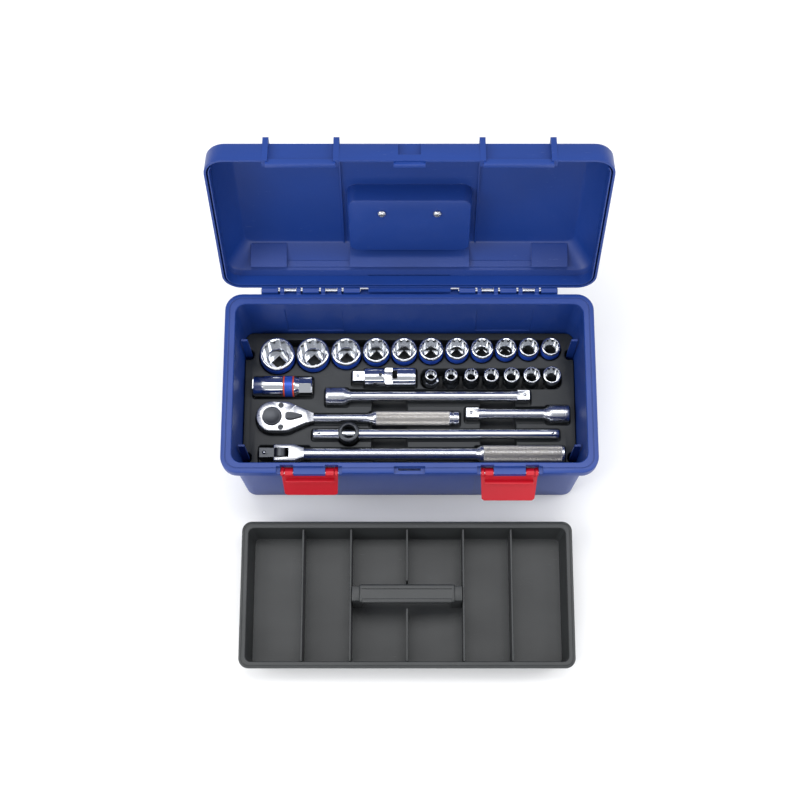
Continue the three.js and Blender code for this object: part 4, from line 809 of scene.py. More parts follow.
cutters += [
    trough(spark[0], spark[1], spark[2], 12.8),
    trough(tang[0], tang[0] + 16, tang[2], 9),
    trough(tang[0] + 14.7, barrel[1], tang[2], 11.8),
    trough(long_bar[0], long_bar[0] + 27, long_bar[2], 11),
    trough(long_bar[0], long_bar[1], long_bar[2], 9),
    trough(short_bar[1] - 27, short_bar[1], short_bar[2], 11),
    trough(short_bar[0], short_bar[1], short_bar[2], 9),
    trough(head_x + 48, -40, ratchet[2], 6),
    trough(-48.8, ratchet[1], ratchet[2], 8.8),
    trough(t_bar[0], t_bar[1], t_bar[2], 6.2),
    well((t_head[0] + t_head[1]) / 2, t_bar[2], 14, tool_axis - 11.6),
    trough(flex_start, -122, flex[2], 10.4),
    trough(-146, flex[1], flex[2], 7.5),
    trough(80, flex[1], flex[2], 10.2),
]


def head_outline(grow, steps=36):
    """The ratchet's head from above: a half circle, two flats, and shoulders drawn in to the shaft."""
    half = 18.8 + grow
    side = [(12, half), (17, half - 0.15), (20.5, half - 0.8), (23.5, half - 2), (26.5, half - 3.5),
            (42, 8.2 + grow), (45, 6.9 + grow), (48, 5.7 + grow), (50.5, 5 + grow)]
    points = []
    for i in range(steps + 1):
        angle = math.pi / 2 + math.pi * i / steps
        points.append((head_x + half * math.cos(angle), ratchet[2] + half * math.sin(angle)))
    points += [(head_x + x, ratchet[2] - y) for x, y in side]
    return points + [(head_x + x, ratchet[2] + y) for x, y in side[::-1]]


cutters.append(hollow(lambda grow: head_outline(grow + play), tool_axis - 9.6))
for x in (-24.5, 108.3):
    y0, y1 = flex[2] - 10, long_bar[2] + 7
    cutters.append(trough(x - 20.3, x + 20.3, (y0 + y1) / 2, (y1 - y0) / 2 - play, insert_top - 20, 6))
insert = cut(insert, *cutters)
scallop_steps = ((2, 0), (insert_top - 1.1, 0), (insert_top - 0.35, 0.3), (insert_top, 1),
                 (insert_top + 1, 2))
for side_x in (-1, 1):
    x = side_x * (inside_x - gusset_reach - 2.5 + 20)
    for y in (-gusset_y, gusset_y):
        scallop = [(rounded(40 + 2 * grow, 13 + 2 * grow, 5.4 + grow, x, y), z) for z, grow in scallop_steps]
        insert = cut(insert, loft(scallop))
piece(insert, "insert_moulding", "insert", insert_black, ["tool_insert"], sharp=28)

# ---------------------------------------------------------------- sockets
# Chrome-plated forged sockets, polished all over, with a twelve-point opening above and a square
# drive hole below. The larger ones carry a blue-painted knurled band below the polished mouth.

chrome = plated("polished_chrome", "polished_chrome", (226, 229, 234), 0.05, (1, 1, 0.1), 0.05)
band_blue = Finish("blue_band", "blue_band", Metallic=0.35, Specular_IOR_Level=0.6)
band_wear = band_blue.noise(900, 3).above(0.62, 0.72) * band_blue.noise(60, 2).above(0.45, 0.6)
band_blue.feed(
    Base_Color=band_blue.blend(band_wear * 0.6, colour(38, 80, 185), colour(170, 178, 196)),
    Roughness=0.3 + band_blue.noise(300, 2) * 0.2,
    Normal=band_blue.bump(band_blue.noise(1200, 2), 0.2, 0.00005),
)

knurl = bpy.data.node_groups.new("knurl", "GeometryNodeTree")
knurl.interface.new_socket("Geometry", in_out="OUTPUT", socket_type="NodeSocketGeometry")
knurl_inputs = {}
knurl_kinds = {"Radius": "Float", "Start": "Float", "Length": "Float", "Around": "Int", "Along": "Int",
               "Tooth Width": "Float", "Tooth Height": "Float", "Stretch": "Float", "Material": "Material"}
for label, kind in knurl_kinds.items():
    made = knurl.interface.new_socket(label, in_out="INPUT", socket_type=f"NodeSocket{kind}")
    knurl_inputs[label] = made.identifier


class Step:
    """An output of a Geometry Nodes step, with Python's operators."""

    def __init__(self, socket):
        self.socket = socket

    def __add__(self, other):
        return maths("ADD", self, other)

    def __sub__(self, other):
        return maths("SUBTRACT", self, other)

    def __mul__(self, other):
        return maths("MULTIPLY", self, other)

    def __truediv__(self, other):
        return maths("DIVIDE", self, other)


def step(kind, settings=None, inputs=None, output=0):
    node = knurl.nodes.new(kind)
    for key, value in (settings or {}).items():
        setattr(node, key, value)
    for key, value in (inputs or {}).items():
        if isinstance(value, Step):
            knurl.links.new(value.socket, node.inputs[key])
        else:
            node.inputs[key].default_value = value
    return Step(node.outputs[output])


def maths(operation, *values):
    return step("ShaderNodeMath", {"operation": operation}, dict(enumerate(values)))


def parts_of(vector):
    return [step("ShaderNodeSeparateXYZ", None, {"Vector": vector}, i) for i in range(3)]


given_node = knurl.nodes.new("NodeGroupInput")
given = {label: Step(given_node.outputs[label]) for label in knurl_inputs}
turn_step = maths("DIVIDE", 2 * math.pi, given["Around"])
grid = step("GeometryNodeMeshGrid", None, {
    "Size X": given["Length"], "Size Y": turn_step * (given["Around"] - 1),
    "Vertices X": given["Along"], "Vertices Y": given["Around"],
})
grid_x, grid_y, _ = parts_of(step("GeometryNodeInputPosition"))
row = maths("FLOOR", step("GeometryNodeInputIndex") / given["Around"])
angle = grid_y + maths("MODULO", row, 2) * turn_step * 0.5
wrapped = step("ShaderNodeCombineXYZ", None, {
    "X": grid_x + given["Start"] + given["Length"] * 0.5,
    "Y": given["Radius"] * maths("COSINE", angle),
    "Z": given["Radius"] * maths("SINE", angle),
})
roll = step("GeometryNodeSetPosition", None, {"Geometry": grid, "Position": wrapped})
tooth = step("GeometryNodeMeshCone", None, {
    "Vertices": 4, "Radius Top": given["Tooth Width"] * 0.22, "Radius Bottom": given["Tooth Width"],
    "Depth": given["Tooth Height"],
})
_, round_y, round_z = parts_of(step("GeometryNodeInputPosition"))
lean = maths("ARCTAN2", round_z, round_y) - math.pi / 2
outward = step("FunctionNodeEulerToRotation", None, {0: step("ShaderNodeCombineXYZ", None, {"X": lean})})
shape = step("ShaderNodeCombineXYZ", None, {"X": given["Stretch"], "Y": 1, "Z": 1})
teeth = step("GeometryNodeInstanceOnPoints", None, {
    "Points": roll, "Instance": tooth, "Rotation": outward, "Scale": shape,
})
real = step("GeometryNodeRealizeInstances", None, {"Geometry": teeth})
coated = step("GeometryNodeSetMaterial", None, {"Geometry": real, "Material": given["Material"]})
knurl.links.new(coated.socket, knurl.nodes.new("NodeGroupOutput").inputs["Geometry"])


def rolled(name, body, finish, axis, at, **sizes):
    """Diamond knurling rolled round a bar, as its own piece over the bar's surface."""
    obj = bpy.data.objects.new(name, bpy.data.meshes.new(name))
    scene.collection.objects.link(obj)
    modifier = obj.modifiers.new("knurl", "NODES")
    modifier.node_group = knurl
    for label, value in {**sizes, "Material": finish.material}.items():
        modifier[knurl_inputs[label.replace("_", " ")]] = value
    graph = bpy.context.evaluated_depsgraph_get()
    mesh = bpy.data.meshes.new_from_object(obj.evaluated_get(graph))
    obj.modifiers.remove(modifier)
    obj.data = mesh
    return piece(obj, name, body, finish, (), Matrix.Translation(at) @ AXES[axis] @ Matrix.Rotation(
        -math.pi / 2, 4, "Y"), sharp=20)


def twelve_points(size):
    inner, outer = size / 2 / math.cos(math.pi / 12), size / 2 / math.cos(math.pi / 6)
    points = []
    for i in range(24):
        a = i * math.pi / 12
        radius = inner if i % 2 else outer
        points.append((radius * math.cos(a), radius * math.sin(a)))
    return points


def scaled(points, factor):
    return [(factor * x, factor * y) for x, y in points]


def four_sided(width, turn=math.pi / 4):
    return circle(width / math.sqrt(2), 4, turn)


def six_sided(flats, turn=0.0):
    return circle(flats / math.sqrt(3), 6, turn)


def socket_rings(s, banded):
    height, r = s["high"] - s["low"], s["radius"]
    if banded:
        return [(0, r - 1.1), (0.3, r - 0.6), (1.1, r), (height - 16.8, r), (height - 16.4, r - 0.5),
                (height - 4.6, r - 0.5), (height - 4.2, r), (height - 1.5, r), (height - 0.5, r - 0.35),
                (height, r - 1.1)]
    nose = min(r, 0.63 * s["size"] + 1)
    middle = height / 2
    rings = [(0, r - 1.1), (0.3, r - 0.6), (1.1, r), (middle - 0.5, r)]
    if nose < r - 0.4:
        rings += [(middle + 0.6, r - 0.15), (middle + 4, nose + 0.1)]
    rings += [(middle + 5, nose), (height - 1.2, nose), (height - 0.4, nose - 0.3), (height, nose - 0.9)]
    return rings


for node, s in sockets.items():
    size = s["size"]
    banded = size >= 17
    height = s["high"] - s["low"]
    at = (s["at"].x, s["at"].y, s["low"])
    deep = min(height - 18, size * 0.35 + 7)
    opening = size + 0.3
    mouth = twelve_points(opening)
    shell = turned(socket_rings(s, banded), "z", at, 72)
    lead_in = opening / 2 / math.cos(math.pi / 6)
    shell = cut(
        shell,
        turned([(height - 1.5, lead_in - 1.3), (height + 0.5, lead_in + 0.75)], "z", at, 72),
        loft([(mouth, height - deep), (mouth, height + 1)], "z", at),
        turned([(height - deep - 1.2, size * 0.385), (height - deep + 0.4, size * 0.44)], "z", at, 48),
        turned([(13, size * 0.36), (height - deep + 0.1, size * 0.385)], "z", at, 48),
        loft([(four_sided(drive_hole, math.pi / 2), -1), (four_sided(drive_hole, math.pi / 2), 14)], "z", at),
    )
    piece(shell, f"{node}_shell", node, chrome, [node], sharp=38)
    if banded:
        r = s["radius"]
        ring = cut(turned([(height - 16.3, r - 0.25), (height - 16, r - 0.05), (height - 5, r - 0.05),
                           (height - 4.7, r - 0.25)], "z", at, 72),
                   rod(height - 20, height, r - 0.8, "z", at, 72))
        piece(ring, f"{node}_band", node, band_blue, sharp=30)
        rolled(f"{node}_knurl", node, band_blue, "z", at, Radius=r - 0.1, Start=height - 15.4, Length=9.8,
               Around=round(2 * math.pi * r / 1.7), Along=8, Tooth_Width=0.78, Tooth_Height=0.42,
               Stretch=1.15)

# ---------------------------------------------------------------- spark plug socket
# A long chrome socket that lies on its side, with a hexagon for a spanner behind a blue painted
# band edged in orange, and a rubber ring inside that holds the plug.

satin = plated("satin_chrome", "satin_chrome", (214, 216, 222), 0.2, (0.15, 4, 4), 0.2)
orange_red = moulded("orange_paint", "blue_band", (214, 74, 42), 0.35, 0.1, 0.0002)
rubber = moulded("rubber", "rubber", (26, 26, 28), 0.75, 0.5, 0.0003)
spark_at = (spark[0], spark[2], tool_axis)
spark_shell = fused(
    turned([(0, 11.6), (0.4, 12.3), (1.4, 12.8), (35, 12.8), (36, 12.4), (36, 11.8), (50, 11.8), (50, 12.5),
            (50.8, 12.5), (54, 10.6), (55.5, 10.1), (57, 10)], "x", spark_at, 72),
    loft([(six_sided(20, math.pi / 6), 55.5), (six_sided(20, math.pi / 6), 70.6),
          (six_sided(18.4, math.pi / 6), 71.5)], "x", spark_at),
)
spark_shell = cut(
    spark_shell,
    turned([(-0.5, 11.9), (1.6, 10.7)], "x", spark_at, 72),
    loft([(six_sided(19.5), -1), (six_sided(19.5), 49.5)], "x", spark_at),
    loft([(four_sided(drive_hole), 47.5), (four_sided(drive_hole), 73)], "x", spark_at),
)
piece(spark_shell, "spark_socket_shell", "spark_plug_socket", chrome, ["spark_plug_socket"], sharp=35)


def sleeve(start, end, outer, inner, at=spark_at):
    rings = [(start, outer - 0.25), (start + 0.3, outer), (end - 0.3, outer), (end, outer - 0.25)]
    return cut(turned(rings, "x", at, 72), rod(start - 1, end + 1, inner, "x", at, 72))


piece(sleeve(38.4, 47.6, 12.75, 12.05), "spark_socket_band", "spark_plug_socket", band_blue,
      ["spark_plug_socket_band"])
band_edges = together("edges", [sleeve(36.4, 38.2, 12.8, 12.05), sleeve(47.8, 49.6, 12.8, 12.05)])
piece(band_edges, "spark_socket_band_edges", "spark_plug_socket", orange_red)
piece(sleeve(24, 38, 9.25, 5.2), "spark_socket_rubber", "spark_plug_socket", rubber,
      ["spark_plug_rubber_grip"])

# ---------------------------------------------------------------- universal joint
# Two forged chrome yokes turn on pins through a small bright block. The left yoke ends in the
# square drive tang with its sprung ball, and the right one in a square drive socket.

black_oxide = plated("black_oxide", "black_oxide_steel", (74, 76, 80), 0.3, (1, 1, 1), 0.2)
joint_x, joint_y = tang[0], tang[2]
joint_at = (0, joint_y, tool_axis)
detent_inset = 6.5
detent_hole = 2.2
upright_x = (span("universal_joint_upright_pin")[0].x + span("universal_joint_upright_pin")[1].x) / 2
cross_x = pivot("universal_joint_bend").x


def ball(x, y, top):
    """The sprung detent ball, as far as it stands out of a face."""
    bm = bmesh.new()
    bmesh.ops.create_icosphere(bm, subdivisions=3, radius=1.9,
                               matrix=Matrix.Translation((x, y, top - 1.2)))
    return added("ball", bm)


drive_yoke = fused(
    squared(drive_square, joint_x + 16, joint_x, "x", joint_at),
    turned([(joint_x + 14.7, 10), (joint_x + 15.6, 11), (upright_x - 6, 11), (upright_x + 3.4, 11),
            (upright_x + 4.6, 10.4), (upright_x + 5, 9.6)], "x", joint_at, 64),
)
drive_yoke = cut(
    drive_yoke,
    box(upright_x - 5.4, upright_x + 7, joint_y - 12, joint_y + 12, tool_axis - 5.4, tool_axis + 5.4),
    rod(-12, 12, 2.3, "z", (upright_x, joint_y, tool_axis), 24),
    rod(3, 8, detent_hole, "z", (joint_x + detent_inset, joint_y, tool_axis), 24),
    *[box(upright_x - 9, upright_x + 6, joint_y + s * 9.2, joint_y + s * 14, tool_axis - 12, tool_axis + 12)
      for s in (-1, 1)],
)
piece(drive_yoke, "joint_drive_yoke", "universal_joint", chrome, ["universal_joint_drive_yoke"], sharp=35)
joint_block = cut(
    box(upright_x - 5, cross_x + 5, joint_y - 5, joint_y + 5, tool_axis - 5, tool_axis + 5, 0.8),
    rod(-9, 9, 2.3, "z", (upright_x, joint_y, tool_axis), 24),
    rod(-9, 9, 2.3, "y", (cross_x, joint_y, tool_axis), 24),
)
piece(joint_block, "joint_centre_block", "universal_joint", satin, ["universal_joint_cross_block"], sharp=35)
fork_start, joint_end = barrel[0], barrel[1]
socket_yoke = turned([(fork_start, 10.6), (fork_start + 0.6, 11.4), (fork_start + 1.6, 11.8),
                      (joint_end - 1.4, 11.8), (joint_end - 0.4, 11.4), (joint_end, 10.7)], "x", joint_at, 64)
socket_yoke = cut(
    socket_yoke,
    box(fork_start - 1, cross_x + 11, joint_y - 5.4, joint_y + 5.4, tool_axis - 13, tool_axis + 13),
    box(fork_start - 1, cross_x + 5, joint_y - 13, joint_y + 13, tool_axis + 5.5, tool_axis + 13),
    box(fork_start - 1, cross_x + 5, joint_y - 13, joint_y + 13, tool_axis - 13, tool_axis - 5.5),
    rod(-13, 13, 2.3, "y", (cross_x, joint_y, tool_axis), 24),
    loft([(four_sided(drive_hole), joint_end - 17), (four_sided(drive_hole), joint_end + 1)], "x", joint_at),
    cut(rod(joint_end - 5.4, joint_end - 4.2, 13, "x", joint_at, 64),
        rod(joint_end - 6, joint_end - 3, 11.4, "x", joint_at, 64)),
)
piece(socket_yoke, "joint_socket_yoke", "universal_joint_socket_end", chrome, ["universal_joint_socket_yoke"],
      sharp=35)
plain_pin("joint_upright_pin", "universal_joint_upright_pin", "universal_joint", 2, "z", black_oxide)
plain_pin("joint_cross_pin", "universal_joint_cross_pin", "universal_joint", 2, "y", black_oxide)

# ---------------------------------------------------------------- extension bars
# Forged bars with a brushed shaft, a polished drive socket at one end and a square tang with a
# sprung ball at the other, behind a shallow collar.

for node, direction in (("long_extension", 1), ("short_extension", -1)):
    low, high, y = spans_x(node)
    start, length = (low, high - low) if direction > 0 else (high, high - low)
    at = (start, y, tool_axis)
    rings = [(0, 10), (0.4, 10.6), (1.4, 11), (5, 11), (5.2, 10.7), (6.4, 10.7), (6.6, 11), (19, 11),
             (23, 10.6), (26, 9.1), (29, 7.2), (31.5, 6.35), (34, 6.2)]
    shaft = rings + [(length - 30, 6.2), (length - 26, 6.35), (length - 23, 6.9), (length - 15.2, 6.9),
                     (length - 14, 6.2)]
    bar = turned([(direction * s, r) for s, r in shaft], "x", at, 64)
    tip = start + direction * length
    bar = fused(bar, squared(drive_square, tip - direction * 15.5, tip, "x", (0, y, tool_axis)))
    bar = cut(
        bar,
        loft([(four_sided(drive_hole), -direction), (four_sided(drive_hole), direction * 16)], "x", at),
        loft([(four_sided(14.6), -direction * 0.01), (four_sided(drive_hole), direction)], "x", at),
        rod(3.4, 8, detent_hole, "z", (tip - direction * detent_inset, y, tool_axis), 24),
    )
    piece(bar, f"{node}_bar", node, satin, [node], sharp=35)
    detent = ball(tip - direction * detent_inset, y, tool_axis + 7.05)
    piece(detent, f"{node}_detent", node, chrome, [f"{node}_ball"])
piece(ball(joint_x + detent_inset, joint_y, tool_axis + 6.6), "joint_detent", "universal_joint", chrome)

# ---------------------------------------------------------------- ratchet
# A forged chrome ratchet: a flat round head with the drive gear's hub showing on top, two screws
# that hold the cover, a black reversing lever, and a knurled grip rolled round the shaft.

ratchet_y = ratchet[2]
ratchet_top, ratchet_low = tool_axis + 9, tool_axis - 9
lever_x = pivot("ratchet_lever_swing").x
head_at = (head_x, ratchet_y, 0)
grip_from, grip_to, grip_radius = -42.8, 51, 8.6
cover_screw_y = 13.9
head = loft([(head_outline(-1.4), ratchet_low), (head_outline(-0.4), ratchet_low + 0.4),
             (head_outline(0), ratchet_low + 1.4), (head_outline(0), ratchet_top - 1.4),
             (head_outline(-0.4), ratchet_top - 0.4), (head_outline(-1.4), ratchet_top)])
slope_cut = [(head_x + 42, ratchet_top + 1), (head_x + 58, ratchet_top + 1), (head_x + 58, tool_axis + 4.4),
             (head_x + 51, tool_axis + 5), (head_x + 42, ratchet_top - 0.3)]
throat = drawn([(z, x) for x, z in slope_cut], ratchet_y - 15, ratchet_y + 15, "y")
throat_low = drawn([(2 * tool_axis - z, x) for x, z in slope_cut], ratchet_y - 15, ratchet_y + 15, "y")
shaft = turned([(head_x + 44, 4.8), (head_x + 52, 5), (-90, 5), (grip_from - 9, 5.4), (grip_from - 4, 6.6),
                (grip_from - 1.5, 8.2), (grip_from, grip_radius), (grip_from + 2, grip_radius),
                (grip_from + 2.4, grip_radius - 0.6),
                (grip_to - 2.4, grip_radius - 0.6), (grip_to - 2, grip_radius), (grip_to, grip_radius),
                (grip_to + 0.8, grip_radius - 0.9), (grip_to + 2, grip_radius - 0.9),
                (grip_to + 3, grip_radius), (58.6, grip_radius), (60, 7.9), (60.5, 6.8)],
               "x", (0, ratchet_y, tool_axis), 64)
ratchet_solid = fused(cut(head, throat, throat_low), shaft)
ratchet_solid = cut(
    ratchet_solid,
    rod(ratchet_low - 1, tool_axis + 5, 13, "z", head_at, 64),
    rod(ratchet_low, ratchet_top + 1, 11.3, "z", head_at, 64),
    rod(ratchet_low - 1, ratchet_low + 2.4, 16, "z", head_at, 64),
    turned([(ratchet_top - 0.7, 11.3), (ratchet_top + 0.1, 12.4)], "z", head_at, 64),
    box(head_x + 8, lever_x + 6, ratchet_y - 6.5, ratchet_y + 6.5, ratchet_low + 3, tool_axis + 5),
    rod(tool_axis, ratchet_top + 1, 3.3, "z", (lever_x, ratchet_y, 0), 24),
    *[rod(ratchet_top - 2.2, ratchet_top + 1, 3.5, "z", (head_x + 11, ratchet_y + dy, 0), 32)
      for dy in (cover_screw_y, -cover_screw_y)],
    *[loft([([(head_x + 14.6, ratchet_y + s * 1.6), (head_x + 15.6, ratchet_y + s * 1.6),
              (head_x + 29.4, ratchet_y + s * 13.6), (head_x + 28.6, ratchet_y + s * 13.9)], z)
            for z in (ratchet_top - 0.5, ratchet_top + 1)]) for s in (-1, 1)],
)
piece(ratchet_solid, "ratchet_forging", "ratchet", satin, ["ratchet_body"], sharp=33)
knurled = plated("knurled_chrome", "satin_chrome", (206, 202, 196), 0.3, (1, 1, 1), 0.15)
rolled("ratchet_knurl", "ratchet", knurled, "x", (0, ratchet_y, tool_axis), Radius=grip_radius - 0.65,
       Start=grip_from + 3.2, Length=grip_to - grip_from - 6.4, Around=32, Along=56, Tooth_Width=1.0,
       Tooth_Height=0.75, Stretch=1.25)
gear_hub = turned([(ratchet_low - 0.5, 10.6), (ratchet_low, 11), (ratchet_top - 0.3, 11),
                   (ratchet_top + 0.3, 10.5), (ratchet_top + 0.4, 9.9), (ratchet_top + 0.15, 9.3)],
                  "z", head_at, 64)
teeth = []
for i in range(48):
    radius = 11.2 if i % 2 else 12.4
    teeth.append((radius * math.cos(i * math.pi / 24), radius * math.sin(i * math.pi / 24)))
gear_hub = fused(gear_hub, loft([(teeth, ratchet_low + 3), (teeth, tool_axis + 4.4)], "z", head_at),
                 squared(drive_square, ratchet_low + 1, ratchet_low - 14, "z", head_at))
piece(gear_hub, "ratchet_gear", "ratchet_drive", black_oxide, ["ratchet_drive_gear"], sharp=35)
cover = cut(turned([(ratchet_low, 15), (ratchet_low + 0.6, 15.6), (ratchet_low + 2, 15.6)], "z", head_at, 64),
            rod(ratchet_low - 1, ratchet_low + 3, 11.3, "z", head_at, 64))
piece(cover, "ratchet_cover", "ratchet", black_oxide, ["ratchet_cover_plate"], sharp=35)
thumb = [(-4.6, -2.4), (-3, -4.4), (2, -5), (9, -3.4), (14.5, -2.0), (16.5, -0.9), (16.5, 0.9), (14.5, 2.0),
         (9, 3.4), (2, 5), (-3, 4.4), (-4.6, 2.4)]
lever_at = (lever_x, ratchet_y, 0)
pad_foot = [(1, 0.2), (13, 0.1), (13, 1.1), (1, 3.2), (-1, 3.2)]
pad_crest = [(1, 0.5), (12.6, 0.3), (12.6, 0.9), (1, 2.8), (-0.6, 2.8)]


def pad_side(points, side):
    return [(lever_x + x, ratchet_y + side * y) for x, y in points]


lever = fused(
    loft([(thumb, ratchet_top + 0.4), (thumb, ratchet_top + 2.2), (scaled(thumb, 0.9), ratchet_top + 3)], "z",
         lever_at),
    rod(tool_axis + 5.6, ratchet_top + 1, 3, "z", lever_at, 24),
    *[loft([(pad_side(pad_foot, s), ratchet_top + 2.5), (pad_side(pad_crest, s), ratchet_top + 3.5)])
      for s in (-1, 1)],
)
piece(lever, "ratchet_reversing_lever", "ratchet_lever", black_oxide, ["ratchet_lever"], sharp=35)
pawl_low, pawl_high = span("ratchet_pawl")
pawl = box(pawl_low.x, pawl_high.x, pawl_low.y, pawl_high.y, pawl_low.z, pawl_high.z, 0.5)
piece(pawl, "ratchet_pawl_block", "ratchet_lever", black_oxide, ["ratchet_pawl"])
for name, dy in (("rear", cover_screw_y), ("front", -cover_screw_y)):
    at = (head_x + 11, ratchet_y + dy, 0)
    rings = [(ratchet_top - 1.8, 3.2), (ratchet_top - 0.2, 3.2), (ratchet_top + 0.3, 2.7)]
    slot = box(at[0] - 4, at[0] + 4, at[1] - 0.45, at[1] + 0.45, ratchet_top - 0.7, ratchet_top + 1)
    screw = cut(turned(rings, "z", at, 40), slot)
    piece(screw, f"ratchet_cover_screw_{name}", "ratchet", black_oxide, [f"ratchet_screw_{name}"], sharp=35)

# ---------------------------------------------------------------- sliding T-bar
# A round polished bar with a sprung ball near each end, through the black head that carries the
# square drive.

bar_y = t_bar[2]
bar = turned([(t_bar[0], 4.6), (t_bar[0] + 0.5, 5.5), (t_bar[0] + 1.6, 6.2), (t_bar[1] - 1.6, 6.2),
              (t_bar[1] - 0.5, 5.5), (t_bar[1], 4.6)], "x", (0, bar_y, tool_axis), 64)
for x, name in ((t_bar[0] + 8, "left"), (t_bar[1] - 8, "right")):
    bar = cut(bar, rod(3, 8, detent_hole, "z", (x, bar_y, tool_axis), 24))
    piece(ball(x, bar_y, tool_axis + 6.9), f"t_bar_detent_{name}", "sliding_t_bar", chrome,
          [f"sliding_t_bar_ball_{name}"])
piece(bar, "t_bar_rod", "sliding_t_bar", chrome, ["sliding_t_bar"], sharp=35)
slide_at = ((t_head[0] + t_head[1]) / 2, bar_y, 0)
slide = fused(
    turned([(tool_axis - 11, 11.8), (tool_axis - 10, 12.8), (tool_axis + 9.6, 12.8), (tool_axis + 10.6, 12.4),
            (tool_axis + 11, 11.6)], "z", slide_at, 64),
    squared(drive_square, tool_axis - 10, tool_axis - 25, "z", slide_at),
)
slide = cut(
    slide,
    turned([(tool_axis - 7.5, 8), (tool_axis + 10, 8), (tool_axis + 11.1, 9)], "z", slide_at, 64),
    rod(-30, 30, 6.6, "x", (slide_at[0], bar_y, tool_axis), 48),
)
piece(slide, "t_bar_head", "sliding_t_bar", black_oxide, ["sliding_t_head"], sharp=35)

# ---------------------------------------------------------------- flex handle
# The long breaker bar: a satin shaft with a knurled grip, forked at one end around a black head
# that tilts on a cross pin and carries the square drive.

flex_y = flex[2]
flex_at = (0, flex_y, tool_axis)
flex_pin = pivot("flex_head_tilt").x
flex_bar = turned([(-140, 6), (-136, 6.8), (-130, 7), (79, 7), (82, 7.4), (85, 9.2), (86.6, 10.2),
                   (89.6, 10.2), (90, 9.5), (184.2, 9.5), (184.6, 10.2), (187, 10.2), (187.7, 9.6),
                   (188, 8.8)], "x", flex_at, 64)
fork_edge = [(-164.6, 9.4), (-163.6, 10.2), (-162, 10.4), (-141, 10.4), (-138.5, 10), (-136, 9),
             (-133.5, 7.9), (-131, 7.1), (-128, 6.4)]


def fork_outline(inset):
    side = [(x + (inset if x < -160 else 0), y - inset) for x, y in fork_edge]
    return [(x, flex_y - y) for x, y in side] + [(x, flex_y + y) for x, y in side[::-1]]


fork = loft([(fork_outline(inset), tool_axis + z) for z, inset in
             ((-6.8, 1), (-6.5, 0.4), (-5.9, 0), (5.9, 0), (6.5, 0.4), (6.8, 1))])
flex_bar = cut(
    fused(flex_bar, fork),
    box(-166, -146, flex_y - 6, flex_y + 6, tool_axis - 15, tool_axis + 15, 0.01),
    rod(-12, 12, 2.8, "y", (flex_pin, flex_y, tool_axis), 32),
)
piece(flex_bar, "flex_bar", "flex_handle", satin, ["flex_handle"], sharp=33)
rolled("flex_bar_knurl", "flex_handle", knurled, "x", flex_at, Radius=9.45, Start=90.8, Length=92.6,
       Around=38, Along=56, Tooth_Width=1.0, Tooth_Height=0.85, Stretch=1.25)
flex_tang = fused(
    squared(drive_square, flex_pin - 2, flex_start, "x", flex_at),
    box(flex_pin - 11, flex_pin + 1, flex_y - 5.6, flex_y + 5.6, tool_axis - 6.3, tool_axis + 6.3, 0.4),
    turned([(-5.6, 8.4), (-5, 9), (5, 9), (5.6, 8.4)], "y", (flex_pin, flex_y, tool_axis), 64),
)
flex_tang = cut(
    flex_tang,
    *[box(flex_pin - 11.2, flex_pin + 10, flex_y + s * 5.6, flex_y + s * 12, tool_axis - 12, tool_axis + 12)
      for s in (-1, 1)],
    rod(-12, 12, 2.8, "y", (flex_pin, flex_y, tool_axis), 32),
    rod(3.4, 8, detent_hole, "z", (flex_start + detent_inset, flex_y, tool_axis), 24),
)
piece(flex_tang, "flex_drive_head", "flex_head", black_oxide, ["flex_head"], sharp=35)
detent = ball(flex_start + detent_inset, flex_y, tool_axis + 7.05)
piece(detent, "flex_detent", "flex_head", chrome, ["flex_head_ball"])
plain_pin("flex_cross_pin", "flex_head_pin", "flex_handle", 2.5, "y", black_oxide)

# ---------------------------------------------------------------- lift-out tray
# A shallow dark-grey tray with a flat rim and thin moulded dividers. Its wide middle bay holds the
# bar handle, which has a ribbed grip strip along its front.

grey_plastic = moulded("grey_plastic", "grey_plastic", (50, 52, 53), 0.36, 0.3, 0.0007)
tray_low, tray_high = span("lift_out_tray")
tray_x, tray_y = (tray_low.x + tray_high.x) / 2, (tray_low.y + tray_high.y) / 2
tray_width, tray_depth, tray_height = tray_high.x - tray_low.x, tray_high.y - tray_low.y, tray_high.z
skin = 2.5


def tray_ring(inset, z, corner):
    return rounded(tray_width - 2 * inset, tray_depth - 2 * inset, corner, tray_x, tray_y), z


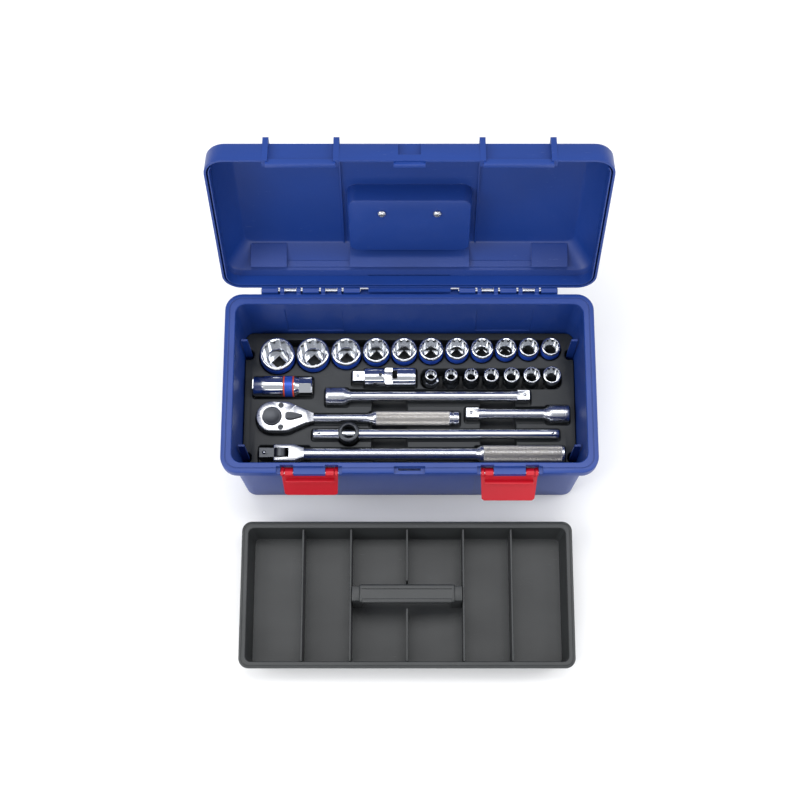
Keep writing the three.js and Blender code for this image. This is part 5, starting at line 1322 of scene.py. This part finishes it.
tray = fused(
    loft([tray_ring(10.6, 0, 7), tray_ring(9.7, 0.9, 8), tray_ring(5.5, tray_height - 1, 9)]),
    loft([tray_ring(0.4, tray_height - 4, 11.6), tray_ring(0, tray_height - 3.6, 12),
          tray_ring(0, tray_height - 1, 12), tray_ring(0.3, tray_height - 0.3, 11.7),
          tray_ring(1, tray_height, 11)]),
)
tray = cut(tray, loft([tray_ring(12.6, skin, 5), tray_ring(12, skin + 0.6, 6),
                       tray_ring(8, tray_height - 0.9, 7), tray_ring(7.3, tray_height - 0.2, 7.7),
                       tray_ring(6.6, tray_height + 0.3, 8)]))
tray_lip = cut(loft([tray_ring(2.6, tray_height - 0.5, 9.4), tray_ring(2.6, tray_height + 1, 9.4)]),
               loft([tray_ring(3.4, tray_height - 2, 8.6), tray_ring(3.4, tray_height + 2, 8.6)]))
tray = cut(tray, tray_lip)
divider_top = tray_height - 4
reach = tray_depth / 2 - 9


def divider(x, near, far):
    side = [(-1.35, 1.5), (1.35, 1.5), (1.15, divider_top - 0.4), (0.7, divider_top), (-0.7, divider_top),
            (-1.15, divider_top - 0.4)]
    return drawn([(z, x + dx) for dx, z in side], tray_y + near, tray_y + far, "y")


for offset in (-126, -68, 68, 126):
    tray = fused(tray, divider(tray_x + offset, -reach, reach))
for near, far in ((17, reach), (-reach, -17)):
    tray = fused(tray, divider(tray_x, near, far))
piece(tray, "tray_moulding", "lift_out_tray", grey_plastic, ["lift_out_tray"], sharp=30)

grip_top = span("lift_out_tray_handle")[1].z
grip = box(tray_x - 57.5, tray_x + 57.5, tray_y - 11, tray_y + 11, grip_top - 11, grip_top, 2.6, 4)
for side in (-1, 1):
    x0, x1 = sorted((tray_x + side * 53.5, tray_x + side * 66.3))
    grip = fused(grip, box(x0, x1, tray_y - 9, tray_y + 9, 2.9, grip_top - 2, 1.2))
grip = cut(grip, box(tray_x - 54, tray_x + 54, tray_y + 4.6, tray_y + 5.4, grip_top - 0.7, grip_top + 1))
strip = box(tray_x - 53.5, tray_x + 53.5, tray_y - 11.6, tray_y - 6.6, grip_top - 4.4, grip_top + 0.4, 0.7)
grip = fused(grip, strip)
for i in range(-17, 18):
    x = tray_x + i * 3
    grip = cut(grip, box(x - 0.35, x + 0.35, tray_y - 12, tray_y - 10.9, grip_top - 4, grip_top))
piece(grip, "tray_grip", "lift_out_tray", grey_plastic, ["lift_out_tray_handle"], sharp=30)
